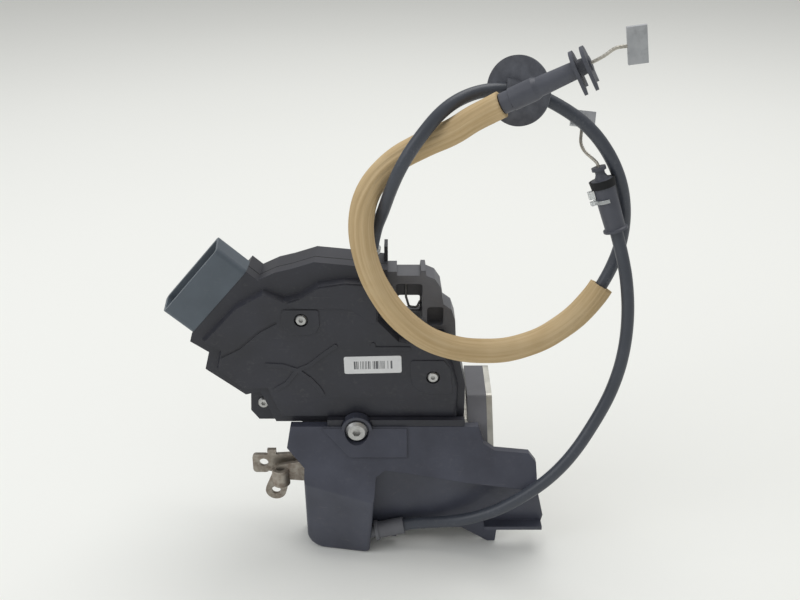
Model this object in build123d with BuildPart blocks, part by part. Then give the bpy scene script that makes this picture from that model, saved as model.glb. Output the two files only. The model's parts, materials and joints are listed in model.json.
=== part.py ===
"""Door latch actuator: the latch unit of a side door, standing on its lower cover.

Millimetres, +Z up. -Y is the front of the moulded casing, +X the end with the steel latch.
The origin is at the bottom centre of the unit without its two release cables.
"""
from build123d import *
from math import atan2, cos, degrees, hypot, pi, radians, sin, tan
import os

# ---------------------------------------------------------------- driving dimensions
FIT = 0.05              # radial clearance of a pin or a screw in its hole
SOFT_GAP = 0.3          # gap between pieces that move past each other

# actuator casing: two moulded halves that meet at SPLIT_Y
FACE_Y = -12.0          # front face of the raised plateau
RIM_DROP = 4.0          # how far the rim lies behind the plateau
FRONT_DEPTH = 11.0      # front face to split line
REAR_DEPTH = 14.0       # split line to back face
WALL = 2.2              # moulded wall
CASING_BOTTOM = 66.0
CASING_RIGHT = 55.0
GASKET = 0.8            # thickness of the seal between the halves
SPLIT_Y = FACE_Y + FRONT_DEPTH
BACK_Y = SPLIT_Y + REAR_DEPTH
RIM_Y = FACE_Y + RIM_DROP

# connector shroud on the tilted upper left corner
SHROUD_WIDTH = 44.0
SHROUD_DEPTH = 15.0
SHROUD_LENGTH = 20.4
SHROUD_WALL = 1.7
SHROUD_ROOT = (-80.7, 117.0)    # lower corner of its root line (X, Z)
SHROUD_TILT = 48.5              # slope of the root line, degrees
TERMINALS = 6                   # blades in each of two rows

# lower cover
COVER_WALL = 2.0
COVER_TOP = 67.0
COVER_TOP_Y = -14.7     # where the sloped roof starts
RIDGE_Z = 34.3          # the edge between roof and nose
RIDGE_Y = -36.0
COVER_REAR_Y = -10.0
CHANNEL_Y = -22.0       # wall behind the cable channel
NOSE_LEFT = -26.5
NOSE_RIGHT = 6.0
LOBE_RIGHT = 96.0
FOOT_X = 70.5

# screws
SCREW_X, SCREW_Z = 0.0, 65.8    # large screw between cover and casing
SCREW_HEAD = 10.8
SCREW_SHANK = 5.0
BOSS_RADIUS = 7.8
BOSS_FRONT_Y = COVER_TOP_Y - 2.0
SEAT_Y = FACE_Y + 0.5           # where the cover's boss meets the casing's lug
LUG_REAR_Y = -4.0
HEAD_SUNK = 1.2                 # how deep the head's seat lies in the boss
SMALL_HEAD = 5.8
SMALL_SHANK = 2.9
CASING_SCREWS = [(-26.0, 126.3), (38.5, 94.5), (-49.0, 73.0)]

# latch: sheets and the space between them, counted along X
FRAME_X = 55.0
FRAME_SHEET = 2.0
MECHANISM = 10.0        # thickness of the moulded case between the sheets
FACE_SHEET = 3.0
CASE_FLOOR = 1.5
LATCH_REAR_Y = 34.0     # where the striker enters
LATCH_FRONT_Y = -10.0
CASE_X = FRAME_X + FRAME_SHEET
FACE_X = CASE_X + MECHANISM
OUTER_X = FACE_X + FACE_SHEET

# claw and pawl, in the YZ plane
CLAW_Y, CLAW_Z = 10.5, 52.0
CLAW_RADIUS = 19.5
CLAW_PIN = 8.0
CLAW_TURN = 60.0        # from open (modelled) to closed
STRIKER_Y, STRIKER_Z = 15.0, 36.0
STRIKER_WIRE = 9.5
SLOT_HALF = 5.6         # half width of the claw's slot
MOUTH_HALF = 6.3        # half height of the fishmouth at its inner end
MOUTH_FLARE = 11.0      # and where it opens
NOTCH_DEPTH = 4.5
NOSE_ANGLE = 215.0      # where the pawl's nose meets the claw, degrees
NOSE_SPAN = 13.0        # width of the nose, degrees of the claw
ARM_LIFT = 5.8          # arm's middle line above the claw's rim
PAWL_REACH = 32.0       # nose to pawl pin
PAWL_PIN = 7.0
CORE_THICK = 4.0
COVER_THICK = 5.6
CORE_X = FACE_X - 0.9 - COVER_THICK / 2    # middle of claw and pawl

# drive inside the casing
MOTOR_X, MOTOR_Z = -37.0, 107.0         # left end of the can, shaft height
MOTOR_LENGTH = 25.0
MOTOR_WIDTH = 15.0
MOTOR_HEIGHT = 18.0
MOTOR_CAP = 3.0
MOTOR_Y = SPLIT_Y + 0.5
SHAFT = 2.0
WORM_STARTS = 2
WHEEL_TEETH = 24
TOOTH_PITCH = 3.4                       # along the worm
WORM_RADIUS = 4.6
WORM_ROOT = 2.6
WORM_LENGTH = 12.0
WORM_GAP = 0.35
WHEEL_PITCH_RADIUS = WHEEL_TEETH * TOOTH_PITCH / (2 * pi)
WHEEL_THICK = 3.0
WHEEL_PIN = 4.0
WORM_X = MOTOR_X + MOTOR_LENGTH + 6.5
WHEEL_X = WORM_X + WORM_LENGTH / 2
WHEEL_Z = MOTOR_Z - WHEEL_PITCH_RADIUS - (WORM_RADIUS + WORM_ROOT) / 2
WHEEL_CENTRE = (WHEEL_X, WHEEL_Z)
KEYED = 6.0                 # across the spindle

# levers
LEVER_SHEET = 2.0
LEVER_PIVOT = (-20.0, 42.0)     # X, Z
LEVER_RIVET = 7.0
EYE_HOLE = 4.8
OUTER_EYE = (-49.3, 43.4)
KEY_EYE = (-43.0, 29.5)
LEVER_Y = LATCH_FRONT_Y - 0.5   # rear face of the first lever
LEVER_STEP = 5.0                # from one lever to the next
RELEASE_PIVOT = (36.0, 107.0)
LEVER_STUD = 6.0
HANDLE_PIVOT, HANDLE_EYE = (0.0, 42.0), (-8.0, 16.0)

# where the two release cables leave: each plane's normal points along the cable's first run
ENTRY_A, ENTRY_A_NEXT = (8.0, -1.0, 155.7), (10.0, -3.0, 169.0)
ENTRY_B, ENTRY_B_NEXT = (20.0, -27.0, 13.5), (30.0, -26.5, 15.5)
ENTRY_A_PLANE = Plane(origin=ENTRY_A, x_dir=(1, 0, 0), z_dir=Vector(*ENTRY_A_NEXT) - Vector(*ENTRY_A))
ENTRY_B_PLANE = Plane(origin=ENTRY_B, x_dir=(0, 1, 0), z_dir=Vector(*ENTRY_B_NEXT) - Vector(*ENTRY_B))
NECK = 3.3                      # entry collar's neck in the wall

os.makedirs("parts", exist_ok=True)


# ---------------------------------------------------------------- helpers
def facing(y):
    """Plane at depth y that faces the front: X to the right, Z up."""
    return Plane.XZ.offset(-y)


def across(x):
    """Plane at X = x that faces +X: Y to the right, Z up."""
    return Plane.YZ.offset(x)


def polygon(points, mode=Mode.ADD):
    """Closed face through the points, where they are given."""
    return Polygon(*points, align=None, mode=mode)


def polar(centre, radius, angle):
    """Point at an angle in degrees around a centre."""
    return (centre[0] + radius * cos(radians(angle)), centre[1] + radius * sin(radians(angle)))


def cable_hole():
    """Cylinder for the neck of the entry collar on top of the casing."""
    with BuildPart() as hole:
        with BuildSketch(ENTRY_A_PLANE.offset(-9.0)):
            Circle(NECK + FIT)
        extrude(amount=8.0)
    return hole.part


def save(builder, name):
    """Label the finished piece and write it."""
    builder.part.label = name
    export_step(builder.part, f"parts/{name}.step")


# ---------------------------------------------------------------- casing
ROOT_TOP = polar(SHROUD_ROOT, SHROUD_WIDTH, SHROUD_TILT)
CASING_OUTLINE = [
    ROOT_TOP, (-46.5, 145.5), (-38.0, 149.5), (-30.0, 151.5), (-19.0, 155.0), (-4.0, 153.5),
    (16.0, 151.0), (16.0, 128.0), (24.0, 119.0), (44.0, 116.0), (52.0, 101.0),
    (CASING_RIGHT, 88.0), (CASING_RIGHT, CASING_BOTTOM), (-42.0, CASING_BOTTOM), (-49.0, 84.0),
    (-56.5, 82.0), (-75.8, 97.0), (-73.2, 106.5), (-82.0, 112.5), SHROUD_ROOT,
]
PLATEAU = [
    (-58.0, 133.0), (-44.0, 141.0), (-34.0, 137.0), (-26.5, 139.0), (-17.6, 145.0), (-4.5, 147.0),
    (12.5, 146.0), (12.5, 126.0), (22.0, 115.5), (42.0, 112.5), (48.5, 100.0), (51.5, 87.5),
    (51.5, 70.0), (-39.0, 70.0), (-45.5, 87.0), (-56.5, 86.5), (-70.0, 98.0), (-67.5, 108.5),
    (-76.0, 114.0),
]


# low relief on the plateau, in X and Z
UPPER_PAD = [
    (-33.5, 135.2), (-31.6, 133.8), (-29.4, 133.1), (-24.4, 132.7), (-7.2, 132.7), (-1.2, 132.0),
    (2.8, 129.4), (5.8, 125.9), (10.6, 124.8), (10.6, 144.4), (-4.3, 145.3), (-17.2, 143.3), (-26.3, 137.3),
]
LEFT_PAD = [(-34.9, 131.8), (-35.9, 125.9), (-34.1, 121.3), (-30.2, 118.3), (-24.0, 118.1),
            (-18.9, 119.5), (-17.2, 123.6), (-17.4, 131.8)]
RIGHT_PAD = [(27.4, 104.0), (27.2, 94.8), (28.5, 89.8), (32.7, 86.0), (38.0, 84.9), (48.6, 84.9),
             (47.2, 99.0), (44.0, 104.0)]
RIBS = [
    [(-9.8, 112.0), (-16.2, 107.0), (-22.7, 101.5), (-29.1, 98.5), (-36.0, 101.0), (-44.0, 101.5)],
    [(-29.1, 98.5), (-23.0, 93.5), (-19.0, 88.6), (-17.0, 84.8)],
    [(-29.1, 98.5), (-34.7, 91.1), (-40.3, 87.5)],
    [(8.7, 113.0), (9.2, 110.6), (26.3, 110.6)],
]
CREASE = [(-70.0, 104.0), (-57.4, 110.6), (-46.5, 120.1), (-38.5, 124.6)]
PAD_HEIGHT, LOW_PAD_HEIGHT, RIB_WIDTH, CREASE_WIDTH = 0.9, 0.5, 2.2, 1.2
PLATEAU_LEFT = -50.0
SILL_TOP, SILL_FOOT, SILL_DEPTH = 84.2, 70.9, 1.2    # the face leans in above the bottom ledge
TOP_TAB = (14.3, 16.0, 144.0, 158.6)                 # X from, X to, Z from, Z to


def band(path, width):
    """Outline of a ridge of a width along a path of points, with round ends."""
    with BuildSketch(Plane.XY) as strip:
        for start, end in zip(path, path[1:]):
            with BuildSketch(mode=Mode.PRIVATE) as run:
                with Locations(start, end):
                    Circle(width / 2)
                make_hull()
            add(run.sketch)
    return strip.sketch


def casing_face(inset=0.0):
    """The outline of both casing halves, moved inwards by an inset."""
    with BuildSketch(Plane.XY) as outline:
        polygon(CASING_OUTLINE)
        if inset:
            offset(amount=-inset, kind=Kind.INTERSECTION)
    return outline.sketch


def boss_places():
    return Locations(*CASING_SCREWS[:2])


with BuildPart() as front_casing:
    with BuildSketch(facing(SPLIT_Y)):
        add(casing_face())
    extrude(amount=SPLIT_Y - RIM_Y)
    with BuildSketch(facing(RIM_Y)):
        polygon(PLATEAU)
    extrude(amount=RIM_DROP, taper=18)
    with BuildSketch(facing(SPLIT_Y)):
        add(casing_face(WALL))
    extrude(amount=SPLIT_Y - RIM_Y - WALL, mode=Mode.SUBTRACT)
    with BuildSketch(facing(RIM_Y + WALL)):
        polygon(PLATEAU)
        offset(amount=-WALL - 1.0, kind=Kind.INTERSECTION)
    extrude(amount=RIM_DROP, taper=18, mode=Mode.SUBTRACT)
    # ledge along the bottom, stepped out in front of the plateau, on top of the cover
    with BuildSketch(facing(FACE_Y + 1.0)):
        with Locations((20.0, COVER_TOP + 1.9)):
            Rectangle(70.0, 3.8)
    extrude(amount=3.5)
    # pads and ribs, the crease at the left and the face that leans in at the bottom
    with BuildSketch(facing(FACE_Y)):
        polygon(UPPER_PAD)
        fillet(vertices(), 0.8)
    extrude(amount=PAD_HEIGHT)
    with BuildSketch(facing(FACE_Y)):
        polygon(LEFT_PAD)
        polygon(RIGHT_PAD)
        fillet(vertices(), 1.5)
        for path in RIBS:
            add(band(path, RIB_WIDTH))
    extrude(amount=LOW_PAD_HEIGHT)
    with BuildSketch(facing(FACE_Y)):
        add(band(CREASE, CREASE_WIDTH))
    extrude(amount=-LOW_PAD_HEIGHT, mode=Mode.SUBTRACT)
    with BuildSketch(across(PLATEAU_LEFT)):
        polygon([(FACE_Y - 0.1, SILL_TOP), (FACE_Y - 0.1, SILL_FOOT), (FACE_Y + SILL_DEPTH, SILL_FOOT)])
    extrude(amount=100.0, mode=Mode.SUBTRACT)
    # screw posts and the recess round each head
    with BuildSketch(facing(SPLIT_Y)):
        with boss_places():
            Circle(4.2)
    extrude(amount=FRONT_DEPTH - WALL)
    with BuildSketch(facing(FACE_Y - 1.0)):
        with boss_places():
            Circle(SMALL_HEAD / 2 + 0.6)
    extrude(amount=-2.0, mode=Mode.SUBTRACT)
    with BuildSketch(facing(FACE_Y)):
        with boss_places():
            Circle(SMALL_SHANK / 2 + FIT)
    extrude(amount=-FRONT_DEPTH, mode=Mode.SUBTRACT)
    # seat of the cover's round boss, and the lug that its screw bites in
    with BuildSketch(facing(BOSS_FRONT_Y)):
        with Locations((SCREW_X, SCREW_Z)):
            Circle(BOSS_RADIUS + SOFT_GAP)
    extrude(amount=BOSS_FRONT_Y - SEAT_Y, mode=Mode.SUBTRACT)
    with BuildSketch(facing(LUG_REAR_Y)):
        with Locations((SCREW_X, SCREW_Z)):
            Circle(BOSS_RADIUS - 2.0)
    extrude(amount=LUG_REAR_Y - SEAT_Y)
    with BuildSketch(facing(LUG_REAR_Y)):
        with Locations((SCREW_X, SCREW_Z)):
            Circle(SCREW_SHANK / 2 + FIT)
    extrude(amount=LUG_REAR_Y - SEAT_Y, mode=Mode.SUBTRACT)
    add(cable_hole(), mode=Mode.SUBTRACT)
save(front_casing, "front_casing")

with BuildPart() as casing_gasket:
    with BuildSketch(facing(SPLIT_Y + GASKET)):
        add(casing_face())
        add(casing_face(WALL), mode=Mode.SUBTRACT)
    extrude(amount=GASKET)
    add(cable_hole(), mode=Mode.SUBTRACT)
save(casing_gasket, "casing_gasket")

EAR = [(-55.0, 84.5), (-56.0, 68.0), (-52.0, 62.5), (-40.0, 62.5), (-40.0, 80.0)]

with BuildPart() as rear_casing:
    with BuildSketch(facing(BACK_Y)):
        add(casing_face())
    extrude(amount=BACK_Y - SPLIT_Y - GASKET)
    with BuildSketch(facing(BACK_Y - WALL)):
        add(casing_face(WALL))
    extrude(amount=BACK_Y - SPLIT_Y - GASKET - WALL, mode=Mode.SUBTRACT)
    # ear at the lower left with its own screw
    with BuildSketch(facing(SPLIT_Y + GASKET + 4.0)):
        polygon(EAR)
        add(casing_face(WALL), mode=Mode.SUBTRACT)
    extrude(amount=4.0)
    with BuildSketch(facing(BACK_Y - WALL)):
        with boss_places():
            Circle(4.2)
    extrude(amount=BACK_Y - SPLIT_Y - GASKET - WALL)
    with BuildSketch(facing(BACK_Y - WALL)):
        with Locations(*CASING_SCREWS):
            Circle(SMALL_SHANK / 2 + FIT)
    extrude(amount=BACK_Y - SPLIT_Y + GASKET, mode=Mode.SUBTRACT)
    # upright tab at the right end of the top
    with BuildSketch(facing(BACK_Y)):
        with Locations(((TOP_TAB[0] + TOP_TAB[1]) / 2, (TOP_TAB[2] + TOP_TAB[3]) / 2)):
            Rectangle(TOP_TAB[1] - TOP_TAB[0], TOP_TAB[3] - TOP_TAB[2])
    extrude(amount=BACK_Y - SPLIT_Y - 4.0)
    # holes for the wheel's spindle and the release lever's stud
    with BuildSketch(facing(BACK_Y)):
        with Locations(WHEEL_CENTRE):
            Circle(KEYED / 2 + FIT)
        with Locations(RELEASE_PIVOT):
            Circle(LEVER_STUD / 2 + FIT)
    extrude(amount=WALL, mode=Mode.SUBTRACT)
    add(cable_hole(), mode=Mode.SUBTRACT)
save(rear_casing, "rear_casing")

# ---------------------------------------------------------------- connector
ROOT_MIDDLE = ((SHROUD_ROOT[0] + ROOT_TOP[0]) / 2, (SHROUD_ROOT[1] + ROOT_TOP[1]) / 2)
AXIS = (-sin(radians(SHROUD_TILT)), cos(radians(SHROUD_TILT)))
SHROUD_PLANE = Plane(
    origin=(ROOT_MIDDLE[0], SPLIT_Y + GASKET / 2, ROOT_MIDDLE[1]),
    x_dir=(cos(radians(SHROUD_TILT)), 0, sin(radians(SHROUD_TILT))),
    z_dir=(AXIS[0], 0, AXIS[1]),
)
BLADE_PITCH = (SHROUD_WIDTH - 10.0) / (TERMINALS - 1)
BLADE_ROWS = 5.0

with BuildPart() as connector_shroud:
    with BuildSketch(SHROUD_PLANE):
        RectangleRounded(SHROUD_WIDTH, SHROUD_DEPTH, 2.5)
    extrude(amount=SHROUD_LENGTH)
    with BuildSketch(SHROUD_PLANE.offset(2.0)):
        RectangleRounded(SHROUD_WIDTH - 2 * SHROUD_WALL, SHROUD_DEPTH - 2 * SHROUD_WALL, 1.5)
    extrude(amount=SHROUD_LENGTH, mode=Mode.SUBTRACT)
    with BuildSketch(SHROUD_PLANE):
        with GridLocations(BLADE_PITCH, BLADE_ROWS, TERMINALS, 2):
            Rectangle(1.6, 0.9)
    extrude(amount=2.0, mode=Mode.SUBTRACT)
    # key ribs on the outside and the latch nub of the plug
    with BuildSketch(SHROUD_PLANE):
        with Locations((-SHROUD_WIDTH / 4, SHROUD_DEPTH / 2 + 0.6), (SHROUD_WIDTH / 4, SHROUD_DEPTH / 2 + 0.6)):
            Rectangle(2.0, 1.4)
    extrude(amount=SHROUD_LENGTH * 0.8)
    # mouth cut on the skew, the door side stands higher
    with BuildSketch(Plane(origin=SHROUD_PLANE.origin, x_dir=(0, 1, 0), z_dir=SHROUD_PLANE.x_dir)):
        Polygon((-SHROUD_DEPTH, SHROUD_LENGTH - 4.4), (SHROUD_DEPTH, SHROUD_LENGTH),
                (SHROUD_DEPTH, SHROUD_LENGTH + 1.0), (-SHROUD_DEPTH, SHROUD_LENGTH + 1.0), align=None)
    extrude(amount=SHROUD_WIDTH, both=True, mode=Mode.SUBTRACT)
save(connector_shroud, "connector_shroud")

with BuildPart() as connector_terminals:
    with BuildSketch(SHROUD_PLANE):
        with GridLocations(BLADE_PITCH, BLADE_ROWS, TERMINALS, 2):
            Rectangle(1.5, 0.8)
    extrude(amount=SHROUD_LENGTH - 7.0)
save(connector_terminals, "connector_terminals")

# ---------------------------------------------------------------- drive inside the casing
with BuildPart() as motor_can:
    with BuildSketch(across(MOTOR_X)):
        with Locations((MOTOR_Y, MOTOR_Z)):
            RectangleRounded(MOTOR_WIDTH, MOTOR_HEIGHT, 5.0)
    extrude(amount=MOTOR_LENGTH)
    with BuildSketch(across(MOTOR_X + MOTOR_LENGTH)):
        with Locations((MOTOR_Y, MOTOR_Z)):
            Circle(3.0)
    extrude(amount=1.0)
    with BuildSketch(across(MOTOR_X)):
        with Locations((MOTOR_Y, MOTOR_Z)):
            Circle(SHAFT / 2 + FIT)
    extrude(amount=MOTOR_LENGTH + 1.0, mode=Mode.SUBTRACT)
save(motor_can, "motor_can")

with BuildPart() as motor_cap:
    with BuildSketch(across(MOTOR_X - MOTOR_CAP)):
        with Locations((MOTOR_Y, MOTOR_Z)):
            RectangleRounded(MOTOR_WIDTH, MOTOR_HEIGHT, 5.0)
    extrude(amount=MOTOR_CAP)
    with BuildSketch(across(MOTOR_X - MOTOR_CAP)):
        with Locations((MOTOR_Y, MOTOR_Z - 5.5), (MOTOR_Y, MOTOR_Z + 5.5)):
            Rectangle(2.0, 0.8)
    extrude(amount=-3.0)
save(motor_cap, "motor_cap")

with BuildPart() as motor_shaft:
    with BuildSketch(across(MOTOR_X + 0.5)):
        with Locations((MOTOR_Y, MOTOR_Z)):
            Circle(SHAFT / 2)
    extrude(amount=WORM_X + WORM_LENGTH + 2.0 - MOTOR_X)
save(motor_shaft, "motor_shaft")

# two-start worm: a core with helical threads, bored for the shaft
LEAD = WORM_STARTS * TOOTH_PITCH
THREAD_WIDTH = 1.0
IN_MESH = -360.0 * (WORM_LENGTH / 2 - 1.0) / LEAD     # turns the thread into a gap of the wheel
THREAD_HEIGHT = WORM_RADIUS - WORM_ROOT + 0.6   # its foot is sunk in the core
with BuildPart() as thread:
    with BuildLine() as helix:
        Helix(pitch=LEAD, height=WORM_LENGTH - 2.0, radius=WORM_RADIUS - THREAD_HEIGHT / 2)
    with BuildSketch(Plane(origin=helix.line @ 0, x_dir=(1, 0, 0), z_dir=helix.line % 0)):
        Rectangle(THREAD_HEIGHT, THREAD_WIDTH)
    sweep(path=helix.line, is_frenet=True)
with BuildPart() as worm_upright:
    Cylinder(WORM_ROOT, WORM_LENGTH)
    for start in range(WORM_STARTS):
        with Locations(Location((0, 0, 1.0 - WORM_LENGTH / 2), (0, 0, IN_MESH + start * 360.0 / WORM_STARTS))):
            add(thread.part)
    Cylinder(SHAFT / 2, WORM_LENGTH, mode=Mode.SUBTRACT)
with BuildPart() as worm:
    with Locations(Plane(origin=(WHEEL_X, MOTOR_Y, MOTOR_Z), x_dir=(0, 0, -1), z_dir=(1, 0, 0))):
        add(worm_upright.part)
save(worm, "worm")

# worm wheel with its keyed spindle; the lock lever sits on the spindle behind the casing
TOOTH_HALF = 360.0 / WHEEL_TEETH / 4 * 0.72     # half a tooth at the pitch circle, degrees
WHEEL_TIP = WHEEL_PITCH_RADIUS + 1.0
WHEEL_ROOT = WHEEL_PITCH_RADIUS - 1.3
HUB = 5.0
HUB_LENGTH = 8.0
SPINDLE_END = BACK_Y + 4.0
LOCK_SHEET = 2.0


def wheel_tooth(number):
    """Corners of one tooth, standing on the root circle."""
    middle = 90.0 + (number + 0.5) * 360.0 / WHEEL_TEETH
    return [polar(WHEEL_CENTRE, WHEEL_ROOT - 0.4, middle - TOOTH_HALF * 1.5),
            polar(WHEEL_CENTRE, WHEEL_TIP, middle - TOOTH_HALF * 0.6),
            polar(WHEEL_CENTRE, WHEEL_TIP, middle + TOOTH_HALF * 0.6),
            polar(WHEEL_CENTRE, WHEEL_ROOT - 0.4, middle + TOOTH_HALF * 1.5)]


with BuildPart() as worm_wheel:
    with BuildSketch(facing(MOTOR_Y + WHEEL_THICK / 2)):
        with Locations(WHEEL_CENTRE):
            Circle(WHEEL_ROOT)
        for number in range(WHEEL_TEETH):
            polygon(wheel_tooth(number))
    extrude(amount=WHEEL_THICK)
    with BuildSketch(facing(MOTOR_Y + HUB_LENGTH)):
        with Locations(WHEEL_CENTRE):
            Circle(HUB)
    extrude(amount=HUB_LENGTH + 5.0)
    with BuildSketch(facing(SPINDLE_END)):
        with Locations(WHEEL_CENTRE):
            Circle(KEYED / 2)
            Rectangle(KEYED, KEYED * 0.7, mode=Mode.INTERSECT)
    extrude(amount=SPINDLE_END - MOTOR_Y)
    with BuildSketch(facing(MOTOR_Y + WHEEL_THICK / 2)):
        with Locations(WHEEL_CENTRE):
            with PolarLocations(8.2, 6):
                Circle(1.7)
    extrude(amount=WHEEL_THICK, mode=Mode.SUBTRACT)
    with BuildSketch(facing(MOTOR_Y)):
        with Locations(WHEEL_CENTRE):
            Circle(WHEEL_PIN / 2 + FIT)
    extrude(amount=8.0, mode=Mode.SUBTRACT)
save(worm_wheel, "worm_wheel")

with BuildPart() as wheel_pin:
    with BuildSketch(facing(FACE_Y + WALL)):
        with Locations(WHEEL_CENTRE):
            Circle(WHEEL_PIN / 2)
    extrude(amount=-(MOTOR_Y - 1.0 - FACE_Y - WALL))
save(wheel_pin, "wheel_pin")

LOCK_END = (WHEEL_X + 6.0, WHEEL_Z - 30.0)
with BuildPart() as lock_lever:
    with BuildSketch(facing(SPINDLE_END)):
        with Locations(WHEEL_CENTRE):
            Circle(6.5)
        with Locations(LOCK_END):
            Circle(4.5)
        make_hull()
        with Locations(WHEEL_CENTRE):
            with BuildSketch(mode=Mode.PRIVATE) as spindle_hole:
                Circle(KEYED / 2 + FIT)
                Rectangle(KEYED + 1.0, KEYED * 0.7 + 2 * FIT, mode=Mode.INTERSECT)
            add(spindle_hole.sketch, mode=Mode.SUBTRACT)
        with Locations(LOCK_END):
            Circle(2.2, mode=Mode.SUBTRACT)
    extrude(amount=LOCK_SHEET)
save(lock_lever, "lock_lever")

# stamped conductors from the terminals to the motor and the switches
FRAME_BACK = BACK_Y - WALL
LEAD_STRIPS = 3
with BuildPart() as lead_frame:
    with BuildSketch(facing(FRAME_BACK)):
        for strip in range(LEAD_STRIPS):
            shift = strip * 5.0
            polygon([(-62.0 - shift / 2, 124.0 - shift), (-46.0, 118.0 - shift), (-8.0, 118.0 - shift),
                     (-8.0, 115.5 - shift), (-46.0, 115.5 - shift), (-62.0 - shift / 2, 121.5 - shift)])
        with Locations((-44.0, 110.0)):
            Rectangle(3.0, 20.0)
    extrude(amount=0.8)
save(lead_frame, "lead_frame")

SWITCH = (12.8, 6.5, 5.8)       # X, Z, depth
SWITCH_PLACES = [(-30.0, 92.0), (-12.0, 92.0)]
with BuildPart() as microswitches:
    with BuildSketch(facing(FRAME_BACK)):
        with Locations(*SWITCH_PLACES):
            Rectangle(SWITCH[0], SWITCH[1])
    extrude(amount=SWITCH[2])
    with BuildSketch(facing(FRAME_BACK - 2.0)):
        with Locations(*[(x + 2.0, z + SWITCH[1] / 2 + 0.8) for x, z in SWITCH_PLACES]):
            Rectangle(2.0, 1.8)
    extrude(amount=2.0)
save(microswitches, "microswitches")

# ---------------------------------------------------------------- lower cover
ROOF_SLOPE = (COVER_TOP - RIDGE_Z) / (COVER_TOP_Y - RIDGE_Y)


def roof_y(z):
    """Depth of the roof's outside at a height."""
    return COVER_TOP_Y - (COVER_TOP - z) / ROOF_SLOPE


HOOD_SIDE = [(COVER_REAR_Y, COVER_TOP), (COVER_TOP_Y, COVER_TOP), (RIDGE_Y, RIDGE_Z), (RIDGE_Y, 0.0),
             (COVER_REAR_Y, 0.0)]
NOSE_FRONT = [(-34.0, COVER_TOP), (-35.5, 58.0), (NOSE_LEFT, 49.5), (NOSE_LEFT, 0.0), (NOSE_RIGHT, 0.0),
              (NOSE_RIGHT + 4.0, 48.0), (14.0, COVER_TOP)]
NOSE_CORNER, NOSE_CORNER_RIGHT, NOSE_EDGE = 9.0, 2.5, 1.6      # rounding of the nose
LIP_LEFT_Z, LIP_RIGHT_Z = 48.5, 40.5
LOBE_FRONT = [(NOSE_RIGHT + 4.0, COVER_TOP), (NOSE_RIGHT + 3.0, 45.0), (14.5, LIP_LEFT_Z),
              (28.0, LIP_LEFT_Z - 1.5), (54.0, LIP_RIGHT_Z + 3.0), (85.0, LIP_RIGHT_Z), (91.5, LIP_RIGHT_Z),
              (91.0, 52.0), (87.5, 55.7), (70.0, 57.0), (64.5, 60.0), (62.0, COVER_TOP)]
CHANNEL_WALL = [(NOSE_RIGHT - 1.0, 3.0), (20.0, 3.0), (20.0, 8.0), (54.4, 9.0), (FOOT_X - 2.0, 0.0),
                (FOOT_X + 2.0, 0.0), (FOOT_X + 3.0, 11.0), (LOBE_RIGHT, 12.5), (LOBE_RIGHT + 1.0, 17.0),
                (91.5, LIP_RIGHT_Z), (91.0, 49.0), (NOSE_RIGHT, 53.0)]
# the nose's front face is turned and leans back towards its foot
NOSE_YAW, NOSE_LEAN = 9.7, 5.5
LEVER_WINDOW = 11.5     # how far the window reaches forward
NOSE_PLANE = Plane(origin=(4.5, -35.0, RIDGE_Z), x_dir=(cos(radians(NOSE_YAW)), -sin(radians(NOSE_YAW)), 0),
                   z_dir=(-sin(radians(NOSE_YAW)), -cos(radians(NOSE_YAW)), sin(-radians(NOSE_LEAN))))


def nose_face(inset=0.0):
    """Front outline of the nose with its round lower corners, moved inwards by an inset."""
    with BuildSketch(Plane.XY) as outline:
        polygon(NOSE_FRONT)
        fillet(vertices().group_by(Axis.Y)[0].sort_by(Axis.X)[0], NOSE_CORNER)
        fillet(vertices().group_by(Axis.Y)[0].sort_by(Axis.X)[-1], NOSE_CORNER_RIGHT)
        if inset:
            offset(amount=-inset, kind=Kind.INTERSECTION)
    return outline.sketch


# side profile crossed with front profile, then the same again for the hollow
with BuildPart() as nose:
    with BuildSketch(across(-40.0)):
        polygon(HOOD_SIDE)
    extrude(amount=60.0)
    with BuildSketch(facing(0.0)):
        add(nose_face())
    extrude(amount=-RIDGE_Y + 5.0, mode=Mode.INTERSECT)
    split(bisect_by=NOSE_PLANE, keep=Keep.BOTTOM)
    fillet(faces().sort_by(Axis.Y)[0].edges(), NOSE_EDGE)

with BuildPart() as nose_hollow:
    with BuildSketch(across(-40.0)):
        polygon(HOOD_SIDE)
        offset(amount=-COVER_WALL, kind=Kind.INTERSECTION)
        with Locations((COVER_REAR_Y, COVER_TOP / 2)):
            Rectangle(2 * COVER_WALL + 0.2, COVER_TOP - 2 * COVER_WALL)
    extrude(amount=60.0)
    with BuildSketch(facing(0.0)):
        add(nose_face(COVER_WALL))
    extrude(amount=-RIDGE_Y + 5.0, mode=Mode.INTERSECT)
    split(bisect_by=NOSE_PLANE.offset(-COVER_WALL), keep=Keep.BOTTOM)

with BuildPart() as lobe:
    with BuildSketch(across(NOSE_RIGHT)):
        polygon([(COVER_TOP_Y + 2 * COVER_WALL, COVER_TOP), (COVER_TOP_Y, COVER_TOP), (RIDGE_Y, RIDGE_Z),
                 (RIDGE_Y + COVER_WALL * 1.3, RIDGE_Z), (COVER_TOP_Y + 1.3 * COVER_WALL, COVER_TOP - COVER_WALL)])
    extrude(amount=100.0)
    with BuildSketch(facing(0.0)):
        polygon(LOBE_FRONT)
        fillet(vertices().group_by(Axis.X)[-1], 3.0)
    extrude(amount=-RIDGE_Y, mode=Mode.INTERSECT)

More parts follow.
